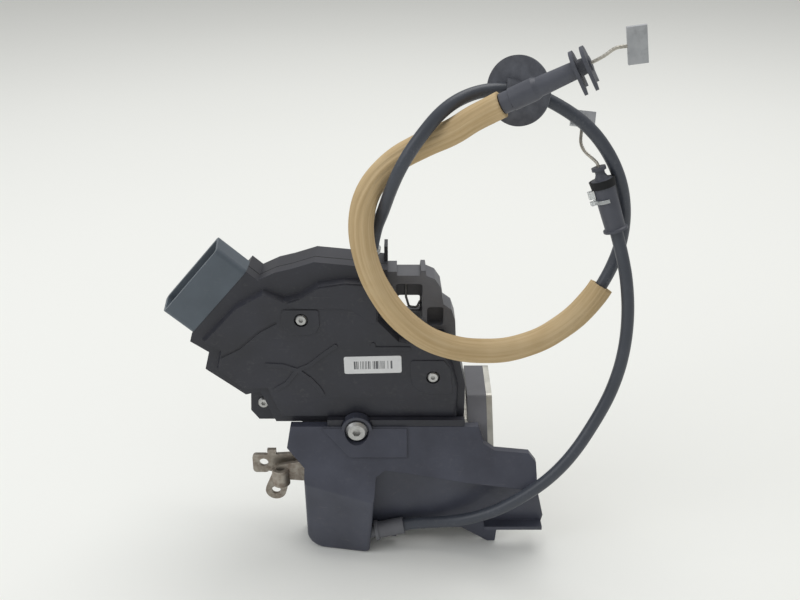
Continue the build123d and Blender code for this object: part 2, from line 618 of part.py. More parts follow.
with BuildPart() as channel:
    with BuildSketch(facing(CHANNEL_Y + COVER_WALL)):
        polygon(CHANNEL_WALL)
    extrude(amount=COVER_WALL)
    # ledge under the cable and the end wall behind it
    with BuildSketch(facing(CHANNEL_Y)):
        with Locations((LOBE_RIGHT - 15.0, 13.0)):
            Rectangle(30.0, 2.0)
    extrude(amount=6.0)
    with BuildSketch(facing(COVER_REAR_Y - 4.0)):
        polygon([(LOBE_RIGHT - 1.5, 12.5), (LOBE_RIGHT, 12.5), (LOBE_RIGHT + 1.0, 17.0), (91.5, LIP_RIGHT_Z),
                 (89.5, LIP_RIGHT_Z)])
    extrude(amount=-CHANNEL_Y + COVER_REAR_Y - 4.0)

with BuildPart() as lower_cover:
    add(nose.part)
    add(nose_hollow.part, mode=Mode.SUBTRACT)
    add(lobe.part)
    add(channel.part)
    # raised field on the roof below the screw
    with BuildSketch(Plane(origin=(0, COVER_TOP_Y, COVER_TOP), x_dir=(1, 0, 0),
                           z_dir=(0, -ROOF_SLOPE, 1))):
        polygon([(-18.0, -1.0), (-3.5, -15.5), (25.5, -15.5), (25.5, -1.0)])
    extrude(amount=1.0)
    # round boss of the large screw
    with BuildSketch(facing(SEAT_Y)):
        with Locations((SCREW_X, SCREW_Z)):
            Circle(BOSS_RADIUS)
    extrude(amount=SEAT_Y - BOSS_FRONT_Y)
    with BuildSketch(facing(BOSS_FRONT_Y)):
        with Locations((SCREW_X, SCREW_Z)):
            Circle(SCREW_HEAD / 2 + 0.8)
    extrude(amount=-HEAD_SUNK, mode=Mode.SUBTRACT)
    with BuildSketch(facing(BOSS_FRONT_Y)):
        with Locations((SCREW_X, SCREW_Z)):
            Circle(SCREW_HEAD / 2 + 0.8)
    extrude(amount=6.0, mode=Mode.SUBTRACT)
    with BuildSketch(facing(SEAT_Y)):
        with Locations((SCREW_X, SCREW_Z)):
            Circle(SCREW_SHANK / 2 + FIT)
    extrude(amount=SEAT_Y - BOSS_FRONT_Y, mode=Mode.SUBTRACT)
    # room for the casing's lug behind the boss
    with BuildSketch(facing(SEAT_Y)):
        with Locations((SCREW_X, SCREW_Z)):
            Circle(BOSS_RADIUS + SOFT_GAP)
    extrude(amount=SEAT_Y - COVER_REAR_Y, mode=Mode.SUBTRACT)
    # window in the left wall through which the levers reach out
    with BuildSketch(facing(COVER_REAR_Y)):
        with Locations((-31.0, 38.5)):
            Rectangle(14.6, 30.0)
    extrude(amount=LEVER_WINDOW, mode=Mode.SUBTRACT)
    with BuildSketch(ENTRY_B_PLANE.offset(-18.0)):
        Circle(NECK + FIT)
    extrude(amount=9.0, mode=Mode.SUBTRACT)
save(lower_cover, "lower_cover")

# ---------------------------------------------------------------- screws and label
def star_screw(head, height, shank, length, seat):
    """Profile of a round-headed screw whose head rests at depth `seat`; revolved about its axis."""
    with BuildPart(Plane.XZ) as screw:
        with BuildSketch(Plane.XY):
            Polygon((0, seat), (head / 2, seat), (head / 2, seat - height * 0.45),
                    (head * 0.4, seat - height), (0, seat - height), align=None)
            Polygon((0, seat), (shank / 2, seat), (shank / 2, seat + length - shank / 3),
                    (shank / 5, seat + length), (0, seat + length), align=None)
        revolve(axis=Axis.Y)
        with BuildSketch(facing(seat - height)):
            RegularPolygon(head * 0.2, 6)
        extrude(amount=-height * 0.6, mode=Mode.SUBTRACT)
    return screw.part


with BuildPart() as cover_screw:
    add(Pos(SCREW_X, 0, SCREW_Z) * star_screw(SCREW_HEAD, 3.4, SCREW_SHANK, 11.0, BOSS_FRONT_Y + HEAD_SUNK))
save(cover_screw, "cover_screw")

with BuildPart() as casing_screws:
    for x, z in CASING_SCREWS[:2]:
        add(Pos(x, 0, z) * star_screw(SMALL_HEAD, 1.9, SMALL_SHANK, 20.0, FACE_Y + 1.0))
    x, z = CASING_SCREWS[2]
    add(Pos(x, 0, z) * star_screw(SMALL_HEAD, 1.9, SMALL_SHANK, 7.0, SPLIT_Y + GASKET))
save(casing_screws, "casing_screws")

LABEL_WIDTH, LABEL_HEIGHT, LABEL_THICK = 28.5, 9.6, 0.2
with BuildPart() as label:
    with BuildSketch(facing(FACE_Y)):
        with Locations(Location((8.5, 101.6, 0), (0, 0, 1.5))):
            RectangleRounded(LABEL_WIDTH, LABEL_HEIGHT, 1.0)
    extrude(amount=LABEL_THICK)
save(label, "label")

# ---------------------------------------------------------------- latch sheets and case
CLAW = (CLAW_Y, CLAW_Z)
STRIKER = (STRIKER_Y, STRIKER_Z)
NOSE_POINT = polar(CLAW, CLAW_RADIUS, NOSE_ANGLE)
PAWL = polar(NOSE_POINT, PAWL_REACH, NOSE_ANGLE + 90.0)
ARM_END = polar(CLAW, CLAW_RADIUS + ARM_LIFT, NOSE_ANGLE - 2.0)
ARM_TIP = 2.5
GRIP = polar(PAWL, 16.0, NOSE_ANGLE - 92.0)     # outer end of the pawl's plastic jacket
GRIP_RADIUS = 3.4
SWING_GAP = 2.6             # room beside the pawl for its swing
PAWL_HUB = 6.3
FACE_HOLES = [(-1.0, 8.0), (24.5, 70.0), (28.0, 8.0)]   # Y, Z of the fixing threads
FACE_THREAD = 5.0           # tapping size of the M6 threads
COLLAR = 4.0                # radius of the drawn collar round each thread
LATCH_SIDE = [(-8.0, 0.0), (LATCH_REAR_Y, 0.0), (LATCH_REAR_Y, 70.0), (28.0, 79.5), (2.0, 76.0),
              (-9.0, 65.0), (-18.5, 54.0), (-18.5, 28.0)]
FRAME_SIDE = [(LATCH_FRONT_Y, 2.0), (LATCH_REAR_Y, 2.0), (LATCH_REAR_Y, 66.0), (28.0, 75.0), (0.0, 69.0),
              (LATCH_FRONT_Y, 64.0)]
FISHMOUTH = [(LATCH_REAR_Y + 1.0, STRIKER_Z - MOUTH_FLARE), (LATCH_REAR_Y + 1.0, STRIKER_Z + MOUTH_FLARE),
             (STRIKER_Y + 6.0, STRIKER_Z + MOUTH_HALF), (STRIKER_Y, STRIKER_Z + MOUTH_HALF),
             (STRIKER_Y, STRIKER_Z - MOUTH_HALF), (STRIKER_Y + 6.0, STRIKER_Z - MOUTH_HALF)]


def fishmouth():
    """The striker's way in: a round inner end that flares to the rear."""
    with BuildSketch(Plane.XY) as mouth:
        Polygon(*FISHMOUTH, align=None)
        with Locations(STRIKER):
            Circle(MOUTH_HALF)
    return mouth.sketch


with BuildPart() as face_plate:
    with BuildSketch(across(FACE_X)):
        Polygon(*LATCH_SIDE, align=None)
        fillet(vertices(), 3.0)
        add(fishmouth(), mode=Mode.SUBTRACT)
        with Locations(CLAW):
            Circle(CLAW_PIN / 2 + FIT, mode=Mode.SUBTRACT)
        with Locations(PAWL):
            Circle(PAWL_PIN / 2 + FIT, mode=Mode.SUBTRACT)
    extrude(amount=FACE_SHEET)
    with BuildSketch(across(FACE_X - 2.5)):
        with Locations(*FACE_HOLES):
            Circle(COLLAR)
    extrude(amount=2.5)
    with BuildSketch(across(FACE_X - 2.5)):
        with Locations(*FACE_HOLES):
            Circle(FACE_THREAD / 2)
    extrude(amount=FACE_SHEET + 2.5, mode=Mode.SUBTRACT)
save(face_plate, "face_plate")

with BuildPart() as mechanism_case:
    with BuildSketch(across(CASE_X)):
        Polygon(*LATCH_SIDE, align=None)
        fillet(vertices(), 3.0)
        add(fishmouth(), mode=Mode.SUBTRACT)
    extrude(amount=MECHANISM)
    with BuildSketch(across(CASE_X + CASE_FLOOR)):
        with Locations(CLAW):
            Circle(CLAW_RADIUS + 1.3)
        with BuildSketch(mode=Mode.PRIVATE) as swing:
            with Locations(ARM_END):
                Circle(ARM_TIP + 4.4)
            with Locations(GRIP):
                Circle(GRIP_RADIUS + SWING_GAP)
            with Locations(PAWL):
                Circle(PAWL_HUB + 0.9)
            make_hull()
        add(swing.sketch)
        with Locations(*FACE_HOLES):
            Circle(COLLAR + SOFT_GAP)
    extrude(amount=MECHANISM, mode=Mode.SUBTRACT)
    with BuildSketch(across(CASE_X)):
        with Locations(CLAW):
            Circle(CLAW_PIN / 2 + FIT)
        with Locations(PAWL):
            Circle(PAWL_PIN / 2 + FIT)
        with Locations(*FACE_HOLES):
            Circle(FACE_THREAD / 2 + 0.8)
        with Locations((STRIKER_Y - MOUTH_HALF - 3.0, STRIKER_Z)):
            Rectangle(4.0, 9.0)
    extrude(amount=CASE_FLOOR, mode=Mode.SUBTRACT)
save(mechanism_case, "mechanism_case")

with BuildPart() as striker_bumper:
    with BuildSketch(across(CASE_X)):
        with Locations((STRIKER_Y - MOUTH_HALF - 3.0, STRIKER_Z)):
            Rectangle(4.0, 9.0)
    extrude(amount=CASE_FLOOR + 1.2)
save(striker_bumper, "striker_bumper")

LEG_LEFT = -28.5
with BuildPart() as latch_frame:
    # sheet beside the case
    with BuildSketch(across(FRAME_X)):
        Polygon(*FRAME_SIDE, align=None)
        add(fishmouth(), mode=Mode.SUBTRACT)
        with Locations(CLAW):
            Circle(CLAW_PIN / 2 + FIT, mode=Mode.SUBTRACT)
        with Locations(PAWL):
            Circle(PAWL_PIN / 2 + FIT, mode=Mode.SUBTRACT)
    extrude(amount=FRAME_SHEET)
    # leg behind the lower cover, with a flange under the casing and a foot to the rear
    with BuildSketch(facing(LATCH_FRONT_Y + FRAME_SHEET)):
        with Locations(((LEG_LEFT + CASE_X) / 2, (CASING_BOTTOM + 2.0) / 2)):
            Rectangle(CASE_X - LEG_LEFT, CASING_BOTTOM - 2.0)
        with Locations((30.0, 24.0)):
            RectangleRounded(26.0, 20.0, 4.0, mode=Mode.SUBTRACT)
    extrude(amount=FRAME_SHEET)
    with BuildSketch(Plane.XY.offset(CASING_BOTTOM - FRAME_SHEET)):
        with Locations(((LEG_LEFT + CASE_X) / 2, LATCH_FRONT_Y + 8.0)):
            Rectangle(CASE_X - LEG_LEFT, 16.0)
    extrude(amount=FRAME_SHEET)
    with BuildSketch(Plane.XY):
        with Locations((-4.0, LATCH_FRONT_Y + 17.0)):
            Rectangle(48.0, 34.0)
    extrude(amount=FRAME_SHEET)
    with BuildSketch(facing(LATCH_FRONT_Y)):
        with Locations((SCREW_X, SCREW_Z)):
            Circle(BOSS_RADIUS - 2.0 + SOFT_GAP)
    extrude(amount=-8.0, mode=Mode.SUBTRACT)
    with BuildSketch(facing(LATCH_FRONT_Y)):
        with Locations(LEVER_PIVOT):
            Circle(LEVER_RIVET / 2 + FIT)
        with Locations(HANDLE_PIVOT):
            Circle(LEVER_STUD / 2 + FIT)
    extrude(amount=-FRAME_SHEET, mode=Mode.SUBTRACT)
save(latch_frame, "latch_frame")
RIVET_HEAD = 1.2


def rivet(centre, radius, start, end, head):
    """Pin along X between two depths: a flat head outside the first, flush at the second."""
    with BuildPart() as pin:
        with BuildSketch(across(start)):
            with Locations(centre):
                Circle(radius)
        extrude(amount=end - start)
        with BuildSketch(across(start)):
            with Locations(centre):
                Circle(radius + head)
        extrude(amount=-RIVET_HEAD)
    return pin.part


with BuildPart() as claw_pin:
    add(rivet(CLAW, CLAW_PIN / 2, FRAME_X, OUTER_X, 1.6))
save(claw_pin, "claw_pin")
with BuildPart() as pawl_pin:
    add(rivet(PAWL, PAWL_PIN / 2, FRAME_X, OUTER_X, 1.4))
save(pawl_pin, "pawl_pin")

# ---------------------------------------------------------------- claw and pawl
NOTCH_RADIUS = CLAW_RADIUS - NOTCH_DEPTH
SLOT_ANGLE = degrees(atan2(STRIKER_Z - CLAW_Z, STRIKER_Y - CLAW_Y))
HUB_RADIUS = 12.5


def sector(inner, outer, start, end):
    """Corner points of a ring sector round the claw's pin, for cutting notches."""
    steps = 6
    arc = [start + (end - start) * step / steps for step in range(steps + 1)]
    return [polar(CLAW, outer, a) for a in arc] + [polar(CLAW, inner, a) for a in reversed(arc)]


def claw_outline():
    """The closed claw: disc, striker slot, two catch teeth and the relief behind them."""
    with BuildSketch(Plane.XY) as outline:
        with Locations(CLAW):
            Circle(CLAW_RADIUS)
        Polygon(*sector(HUB_RADIUS, 30.0, -20.0, 147.0), align=None, mode=Mode.SUBTRACT)
        for start, end in ((NOSE_ANGLE - 1.0, NOSE_ANGLE + 24.0), (NOSE_ANGLE - 32.0, NOSE_ANGLE - 16.0),
                           (NOSE_ANGLE - 69.0, NOSE_ANGLE - 42.0)):
            Polygon(*sector(NOTCH_RADIUS, 30.0, start, end), align=None, mode=Mode.SUBTRACT)
        with Locations(STRIKER):
            Circle(SLOT_HALF, mode=Mode.SUBTRACT)
        with Locations(Location((STRIKER_Y, STRIKER_Z, 0), (0, 0, SLOT_ANGLE))):
            Rectangle(20.0, 2 * SLOT_HALF, align=(Align.MIN, Align.CENTER), mode=Mode.SUBTRACT)
        with Locations(CLAW):
            Circle(CLAW_PIN / 2 + FIT, mode=Mode.SUBTRACT)
    return outline.sketch


OPEN = Pos(CLAW_Y, CLAW_Z, 0) * Rot(0, 0, CLAW_TURN) * Pos(-CLAW_Y, -CLAW_Z, 0)

with BuildPart() as claw_core:
    with BuildSketch(across(CORE_X - CORE_THICK / 2)):
        add(OPEN * claw_outline())
    extrude(amount=CORE_THICK)
save(claw_core, "claw_core")

with BuildPart() as claw_cover:
    with BuildSketch(across(CORE_X - COVER_THICK / 2)):
        with BuildSketch(Plane.XY, mode=Mode.PRIVATE) as jacket:
            add(claw_outline())
            offset(amount=0.5)
            Polygon(*sector(0.5, 40.0, 250.0, 345.0), align=None, mode=Mode.INTERSECT)
            with Locations(CLAW):
                Circle(CLAW_PIN / 2 + 1.5, mode=Mode.SUBTRACT)
        add(OPEN * jacket.sketch)
    extrude(amount=COVER_THICK)
    add(claw_core.part, mode=Mode.SUBTRACT)
save(claw_cover, "claw_cover")


def pawl_outline():
    """Hub, arm and nose of the pawl, with the nose riding on the claw's rim."""
    with BuildSketch(Plane.XY) as outline:
        with Locations(ARM_END):
            Circle(ARM_TIP)
        with Locations(PAWL):
            Circle(PAWL_HUB)
        make_hull()
        Polygon(*sector(CLAW_RADIUS + SOFT_GAP, CLAW_RADIUS + 6.0, NOSE_ANGLE + 2.2, NOSE_ANGLE + NOSE_SPAN),
                align=None)
        with Locations(PAWL):
            Circle(PAWL_PIN / 2 + FIT, mode=Mode.SUBTRACT)
    return outline.sketch


with BuildPart() as pawl_core:
    with BuildSketch(across(CORE_X - CORE_THICK / 2)):
        add(pawl_outline())
    extrude(amount=CORE_THICK)
save(pawl_core, "pawl_core")

with BuildPart() as pawl_cover:
    with BuildSketch(across(CORE_X - COVER_THICK / 2)):
        with Locations(PAWL):
            Circle(PAWL_HUB + 0.5)
        with Locations(GRIP):
            Circle(GRIP_RADIUS)
        make_hull()
        with Locations(PAWL):
            Circle(PAWL_PIN / 2 + 1.0, mode=Mode.SUBTRACT)
    extrude(amount=COVER_THICK)
    add(pawl_core.part, mode=Mode.SUBTRACT)
save(pawl_cover, "pawl_cover")

SPRING_WIRE = 0.55
SPRING_X = CASE_X + CASE_FLOOR + SPRING_WIRE + 0.1


def leg_spring(centre, radius, start, turn, leg):
    """Torsion spring: one open coil round a pin with two tangent legs."""
    with BuildPart() as spring:
        with BuildLine(across(SPRING_X)) as wire:
            coil = CenterArc(centre, radius, start, turn)
            first = (coil @ 0) - (coil % 0) * leg
            last = (coil @ 1) + (coil % 1) * leg
            Line(first, coil @ 0)
            Line(coil @ 1, last)
        with BuildSketch(Plane(origin=wire.line @ 0, z_dir=wire.line % 0)):
            Circle(SPRING_WIRE)
        sweep(path=wire.line)
    return spring.part


with BuildPart() as claw_spring:
    add(leg_spring(CLAW, CLAW_PIN / 2 + 1.6, 60.0, 250.0, 7.0))
save(claw_spring, "claw_spring")
with BuildPart() as pawl_spring:
    add(leg_spring(PAWL, PAWL_PIN / 2 + 1.4, 20.0, 240.0, 4.5))
save(pawl_spring, "pawl_spring")

# ---------------------------------------------------------------- levers
def post(centre, radius, front, rear, head_front, head_rear):
    """Rivet along Y between two depths, with a flat head at each end where asked."""
    with BuildPart() as stud:
        with BuildSketch(facing(rear)):
            with Locations(centre):
                Circle(radius)
        extrude(amount=rear - front)
        with BuildSketch(facing(front)):
            with Locations(centre):
                Circle(radius + head_front)
        extrude(amount=1.4)
        with BuildSketch(facing(rear)):
            with Locations(centre):
                Circle(radius + head_rear)
        extrude(amount=-1.4)
    return stud.part


KEY_Y = LEVER_Y - LEVER_STEP        # rear face of the second lever

with BuildPart() as outer_release_lever:
    with BuildSketch(facing(LEVER_Y)):
        with Locations(LEVER_PIVOT):
            Circle(8.0)
        with Locations((OUTER_EYE[0] + 4.0, OUTER_EYE[1])):
            Rectangle(12.0, 9.0)
        make_hull()
        with Locations((OUTER_EYE[0] - 1.5, OUTER_EYE[1] - 0.5)):
            RectangleRounded(8.5, 11.0, 2.0)
        with Locations((OUTER_EYE[0] + 4.5, OUTER_EYE[1] + 6.0)):
            Rectangle(4.5, 4.0)
        with Locations(OUTER_EYE):
            Circle(EYE_HOLE / 2, mode=Mode.SUBTRACT)
        with Locations(LEVER_PIVOT):
            Circle(LEVER_RIVET / 2 + FIT, mode=Mode.SUBTRACT)
    extrude(amount=LEVER_SHEET)
save(outer_release_lever, "outer_release_lever")

KEY_ELBOW = (-39.0, 41.0)
with BuildPart() as key_lever:
    with BuildSketch(facing(KEY_Y)):
        with Locations(LEVER_PIVOT):
            Circle(7.0)
        with Locations(KEY_ELBOW):
            Circle(4.5)
        make_hull()
    extrude(amount=LEVER_SHEET)
    with BuildSketch(facing(KEY_Y)):
        with Locations(KEY_EYE):
            Circle(5.4)
        with Locations(KEY_ELBOW):
            Circle(4.5)
        make_hull()
    extrude(amount=LEVER_SHEET)
    # curled web that stiffens the arm
    with BuildSketch(Plane.XY.offset(KEY_EYE[1] + 4.0)):
        with Locations((KEY_ELBOW[0] - 1.0, KEY_Y - LEVER_SHEET + 1.0)):
            Circle(4.6)
            Circle(4.6 - LEVER_SHEET, mode=Mode.SUBTRACT)
            with Locations((0.0, 5.0)):
                Rectangle(12.0, 10.0, mode=Mode.SUBTRACT)
    extrude(amount=KEY_ELBOW[1] - KEY_EYE[1] - 2.0)
    with BuildSketch(facing(KEY_Y)):
        with Locations(KEY_EYE):
            Circle(EYE_HOLE / 2)
        with Locations(LEVER_PIVOT):
            Circle(LEVER_RIVET / 2 + FIT)
    extrude(amount=LEVER_SHEET, mode=Mode.SUBTRACT)
save(key_lever, "key_lever")

with BuildPart() as lever_spacer:
    with BuildSketch(facing(LEVER_Y - LEVER_SHEET)):
        with Locations(LEVER_PIVOT):
            Circle(LEVER_RIVET / 2 + 2.0)
            Circle(LEVER_RIVET / 2 + FIT, mode=Mode.SUBTRACT)
    extrude(amount=LEVER_STEP - LEVER_SHEET)
save(lever_spacer, "lever_spacer")

with BuildPart() as lever_rivet:
    add(post(LEVER_PIVOT, LEVER_RIVET / 2, KEY_Y - LEVER_SHEET, LATCH_FRONT_Y + FRAME_SHEET, 1.8, 1.8))
save(lever_rivet, "lever_rivet")

# lever that cable B pulls, under the lower cover
with BuildPart() as handle_lever:
    with BuildSketch(facing(LEVER_Y)):
        with Locations(HANDLE_PIVOT):
            Circle(6.5)
        with Locations(HANDLE_EYE):
            Circle(4.5)
        make_hull()
        with Locations(HANDLE_EYE):
            Circle(2.0, mode=Mode.SUBTRACT)
        with Locations(HANDLE_PIVOT):
            Circle(LEVER_STUD / 2 + FIT, mode=Mode.SUBTRACT)
    extrude(amount=LEVER_SHEET)
save(handle_lever, "handle_lever")
with BuildPart() as handle_stud:
    add(post(HANDLE_PIVOT, LEVER_STUD / 2, LEVER_Y - LEVER_SHEET, LATCH_FRONT_Y + FRAME_SHEET, 1.6, 1.6))
save(handle_stud, "handle_stud")

# lever that cable A pulls, behind the rear casing
RELEASE_EYE, RELEASE_FOOT = (13.0, 117.0), (46.0, 90.0)
RELEASE_Y = BACK_Y + 0.5 + LEVER_SHEET
with BuildPart() as inner_release_lever:
    with BuildSketch(facing(RELEASE_Y)):
        with Locations(RELEASE_PIVOT):
            Circle(7.0)
        with Locations(RELEASE_EYE):
            Circle(4.5)
        make_hull()
        with BuildSketch(mode=Mode.PRIVATE) as foot:
            with Locations(RELEASE_PIVOT):
                Circle(7.0)
            with Locations(RELEASE_FOOT):
                Circle(3.5)
            make_hull()
        add(foot.sketch)
        with Locations(RELEASE_EYE):
            Circle(2.0, mode=Mode.SUBTRACT)
        with Locations(RELEASE_PIVOT):
            Circle(LEVER_STUD / 2 + FIT, mode=Mode.SUBTRACT)
    extrude(amount=LEVER_SHEET)
save(inner_release_lever, "inner_release_lever")
with BuildPart() as release_stud:
    add(post(RELEASE_PIVOT, LEVER_STUD / 2, BACK_Y - WALL, RELEASE_Y, 1.6, 1.6))
save(release_stud, "release_stud")

# bracket with the window for the cable's end, beside the top of the casing
BRACKET_FRONT_Y, BRACKET_REAR_Y = -2.0, 12.0
BRACKET = [(16.0, 128.0), (16.0, 147.5), (20.5, 147.5), (20.5, 145.4), (31.8, 145.4), (32.2, 148.0),
           (34.4, 148.0), (34.8, 145.4), (39.0, 143.5), (42.0, 139.0), (43.5, 130.0), (47.5, 127.0),
           (49.5, 121.0), (50.0, 112.0), (50.0, 104.75), (44.0, 116.0), (24.0, 119.0)]
with BuildPart() as cable_bracket:
    with BuildSketch(facing(BRACKET_REAR_Y)):
        Polygon(*BRACKET, align=None)
    extrude(amount=BRACKET_REAR_Y - BRACKET_FRONT_Y)
    with BuildSketch(facing(BRACKET_FRONT_Y)):
        with Locations((26.5, 131.5)):
            RectangleRounded(13.0, 19.0, 1.5)
    extrude(amount=-(BRACKET_REAR_Y - BRACKET_FRONT_Y - 4.0), mode=Mode.SUBTRACT)
    with BuildSketch(facing(BRACKET_REAR_Y - 4.0)):
        with Locations((26.5, 126.5)):
            RectangleRounded(11.0, 8.0, 1.0)
    extrude(amount=-4.0, mode=Mode.SUBTRACT)
    with BuildSketch(facing(BRACKET_FRONT_Y)):
        with Locations((39.5, 123.5)):
            RectangleRounded(8.0, 10.0, 1.5)
    extrude(amount=-6.0, mode=Mode.SUBTRACT)
save(cable_bracket, "cable_bracket")

HOOK_WIRE = 0.6
with BuildPart() as window_spring:
    with BuildLine(facing(BRACKET_REAR_Y - 4.0 - HOOK_WIRE)) as hook:
        FilletPolyline((25.0, 140.0), (25.0, 130.0), (26.5, 124.5), (30.5, 124.0), (32.0, 127.5), radius=1.6)
    with BuildSketch(Plane(origin=hook.line @ 0, z_dir=hook.line % 0)):
        Circle(HOOK_WIRE)
    sweep(path=hook.line)
save(window_spring, "window_spring")

# ---------------------------------------------------------------- release cables
CONDUIT = 6.0               # outer diameter
SLEEVE = 12.0               # foam over the conduit
SLEEVE_GAP = 0.2
CONDUIT_A = [
    ENTRY_A, ENTRY_A_NEXT, (14.2, -8.0, 180.5), (17.8, -13.5, 193.0), (23.0, -16.0, 205.5),
    (31.0, -15.5, 218.0), (41.5, -10.5, 229.3), (54.0, -4.5, 234.7), (67.5, -2.0, 236.0), (81.5, -2.5, 234.0),
    (94.5, -4.0, 228.0), (106.5, -7.0, 220.0), (116.5, -8.0, 208.0), (123.8, -7.0, 193.5), (127.5, -5.0, 177.5),
    (127.0, -4.5, 162.0), (122.5, -5.5, 148.0), (115.0, -8.0, 135.0), (104.0, -11.5, 124.5), (90.5, -15.0, 117.0),
    (74.5, -18.0, 113.0), (57.5, -20.5, 113.5), (41.5, -22.5, 118.0), (27.5, -23.5, 127.0), (16.0, -22.5, 139.5),
    (8.0, -19.5, 154.0), (4.0, -14.5, 168.5), (4.0, -9.0, 182.0), (9.6, -5.0, 194.0), (19.5, -3.5, 203.8),
    (32.0, -5.0, 211.3), (45.0, -9.5, 217.8), (57.0, -17.0, 228.2), (69.2, -20.0, 234.8)]
SLEEVE_FROM, SLEEVE_TO = 16, 33         # stretch of that route under the foam
CONDUIT_B = [
    ENTRY_B, ENTRY_B_NEXT, (42.0, -27.5, 16.5), (56.0, -30.0, 20.3), (70.0, -33.5, 28.0),
    (83.5, -36.0, 39.0), (96.0, -36.5, 50.5), (107.0, -34.5, 63.5), (116.5, -30.0, 78.0), (124.0, -27.5, 94.0),
    (128.5, -25.0, 111.0), (130.0, -22.0, 128.0), (129.0, -19.0, 144.5), (125.5, -16.5, 161.5),
    (120.0, -14.2, 177.5)]


def bend_radii(route):
    """One radius for each inner point: 0.45 of its shorter run over the tangent of half the turn."""
    points = [Vector(*place) for place in route]
    radii = []
    for before, here, after in zip(points, points[1:], points[2:]):
        turn = (here - before).get_angle(after - here)
        shorter = min((here - before).length, (after - here).length)
        radii.append(0.45 * shorter / tan(radians(turn / 2)))
    return radii


def start_plane(path):
    """Plane across the beginning of a path."""
    return Plane(origin=path @ 0, z_dir=path % 0)


with BuildPart() as conduit_a:
    with BuildLine() as route_a:
        FilletPolyline(*CONDUIT_A, radius=bend_radii(CONDUIT_A))
    with BuildSketch(start_plane(route_a.line)):
        Circle(CONDUIT / 2)
    sweep(path=route_a.line)
save(conduit_a, "conduit_a")

with BuildPart() as conduit_b:
    with BuildLine() as route_b:
        FilletPolyline(*CONDUIT_B, radius=bend_radii(CONDUIT_B))
    with BuildSketch(start_plane(route_b.line)):
        Circle(CONDUIT / 2)
    sweep(path=route_b.line)
save(conduit_b, "conduit_b")


def midpoint(route, number):
    """Middle of the run that starts at a point of the route."""
    here, there = Vector(*route[number]), Vector(*route[number + 1])
    return here + (there - here) * 0.5


SLEEVE_ROUTE = CONDUIT_A[SLEEVE_FROM + 1:SLEEVE_TO]
with BuildPart() as foam_sleeve:
    with BuildLine() as sleeve_line:
        sleeve_points = [midpoint(CONDUIT_A, SLEEVE_FROM), *SLEEVE_ROUTE, midpoint(CONDUIT_A, SLEEVE_TO - 1)]
        FilletPolyline(*sleeve_points, radius=bend_radii(CONDUIT_A)[SLEEVE_FROM:SLEEVE_TO - 1])
    with BuildSketch(start_plane(sleeve_line.line)):
        Circle(SLEEVE / 2)
        Circle(CONDUIT / 2 + SLEEVE_GAP, mode=Mode.SUBTRACT)
    sweep(path=sleeve_line.line)
save(foam_sleeve, "foam_sleeve")


def end_plane(route, x_dir):
    """Plane across the far end of a route, its normal pointing on along the cable."""
    before, last = Vector(*route[-2]), Vector(*route[-1])
    return Plane(origin=last, x_dir=x_dir, z_dir=last - before)


def turned(plane, profile):
    """Solid of revolution about a plane's normal from a (radius, height) profile."""
    with BuildPart() as ring:
        with BuildSketch(Plane(origin=plane.origin, x_dir=plane.x_dir, z_dir=-plane.y_dir)):
            Polygon(*profile, align=None)
        revolve(axis=Axis(plane.origin, plane.z_dir))
    return ring.part


WIRE = 0.75                 # radius of the steel rope
WIRE_BORE = 1.0
SOCKET = 4.0                # how far a conduit's end sits in its ferrule
SOCKET_RADIUS = CONDUIT / 2 + FIT

# long ferrule at the end of cable A
FERRULE_A = end_plane(CONDUIT_A, (0, -1, 0))
FERRULE_LENGTH = 29.5
FLANGE_HIGH, FLANGE_WIDE = 7.0, 6.4
with BuildPart() as ferrule_a:
    add(turned(FERRULE_A, [
        (SOCKET_RADIUS, -SOCKET), (4.6, -SOCKET), (4.6, 0.3), (5.0, 0.6), (5.0, 11.0), (4.3, 13.0),
        (3.8, FERRULE_LENGTH), (3.2, FERRULE_LENGTH + 7.0), (WIRE_BORE, FERRULE_LENGTH + 7.0),
        (WIRE_BORE, 0.2), (SOCKET_RADIUS, 0.2)]))
    for height in (FERRULE_LENGTH, FERRULE_LENGTH + 4.8):
        with BuildSketch(FERRULE_A.offset(height)):
            with Locations((0.0, -1.6)):
                Circle(FLANGE_WIDE)
            with Locations((0.0, 2.0)):
                Rectangle(2 * FLANGE_WIDE, 10.0)
            Polygon((-FLANGE_WIDE, FLANGE_HIGH - 0.5), (-FLANGE_WIDE + 4.5, FLANGE_HIGH - 0.5),
                    (-FLANGE_WIDE + 0.5, FLANGE_HIGH + 3.0), align=None)
            Polygon((FLANGE_WIDE, FLANGE_HIGH - 0.5), (FLANGE_WIDE - 4.5, FLANGE_HIGH - 0.5),
                    (FLANGE_WIDE - 0.5, FLANGE_HIGH + 3.0), align=None)
            Circle(WIRE_BORE, mode=Mode.SUBTRACT)
        extrude(amount=1.5)
save(ferrule_a, "ferrule_a")

# short ferrule at the end of cable B, with its dark collar and clear clip
FERRULE_B = end_plane(CONDUIT_B, (1, 0, 0))
BODY_B = 4.9
COLLAR_B = (17.2, 20.8)
with BuildPart() as ferrule_b:
    add(turned(FERRULE_B, [
        (SOCKET_RADIUS, -SOCKET), (5.7, -SOCKET), (5.7, -SOCKET + 1.0), (4.7, -SOCKET + 1.6), (BODY_B, 8.0),
        (BODY_B, 20.8), (3.3, 21.2), (2.2, 23.4), (2.2, 25.2), (3.3, 25.2), (3.3, 26.8), (WIRE_BORE, 26.8),
        (WIRE_BORE, 0.2), (SOCKET_RADIUS, 0.2)]))
save(ferrule_b, "ferrule_b")
with BuildPart() as ferrule_b_collar:
    add(turned(FERRULE_B, [
        (BODY_B + FIT, COLLAR_B[0]), (5.6, COLLAR_B[0]), (6.0, COLLAR_B[1]), (BODY_B + FIT, COLLAR_B[1])]))
save(ferrule_b_collar, "ferrule_b_collar")
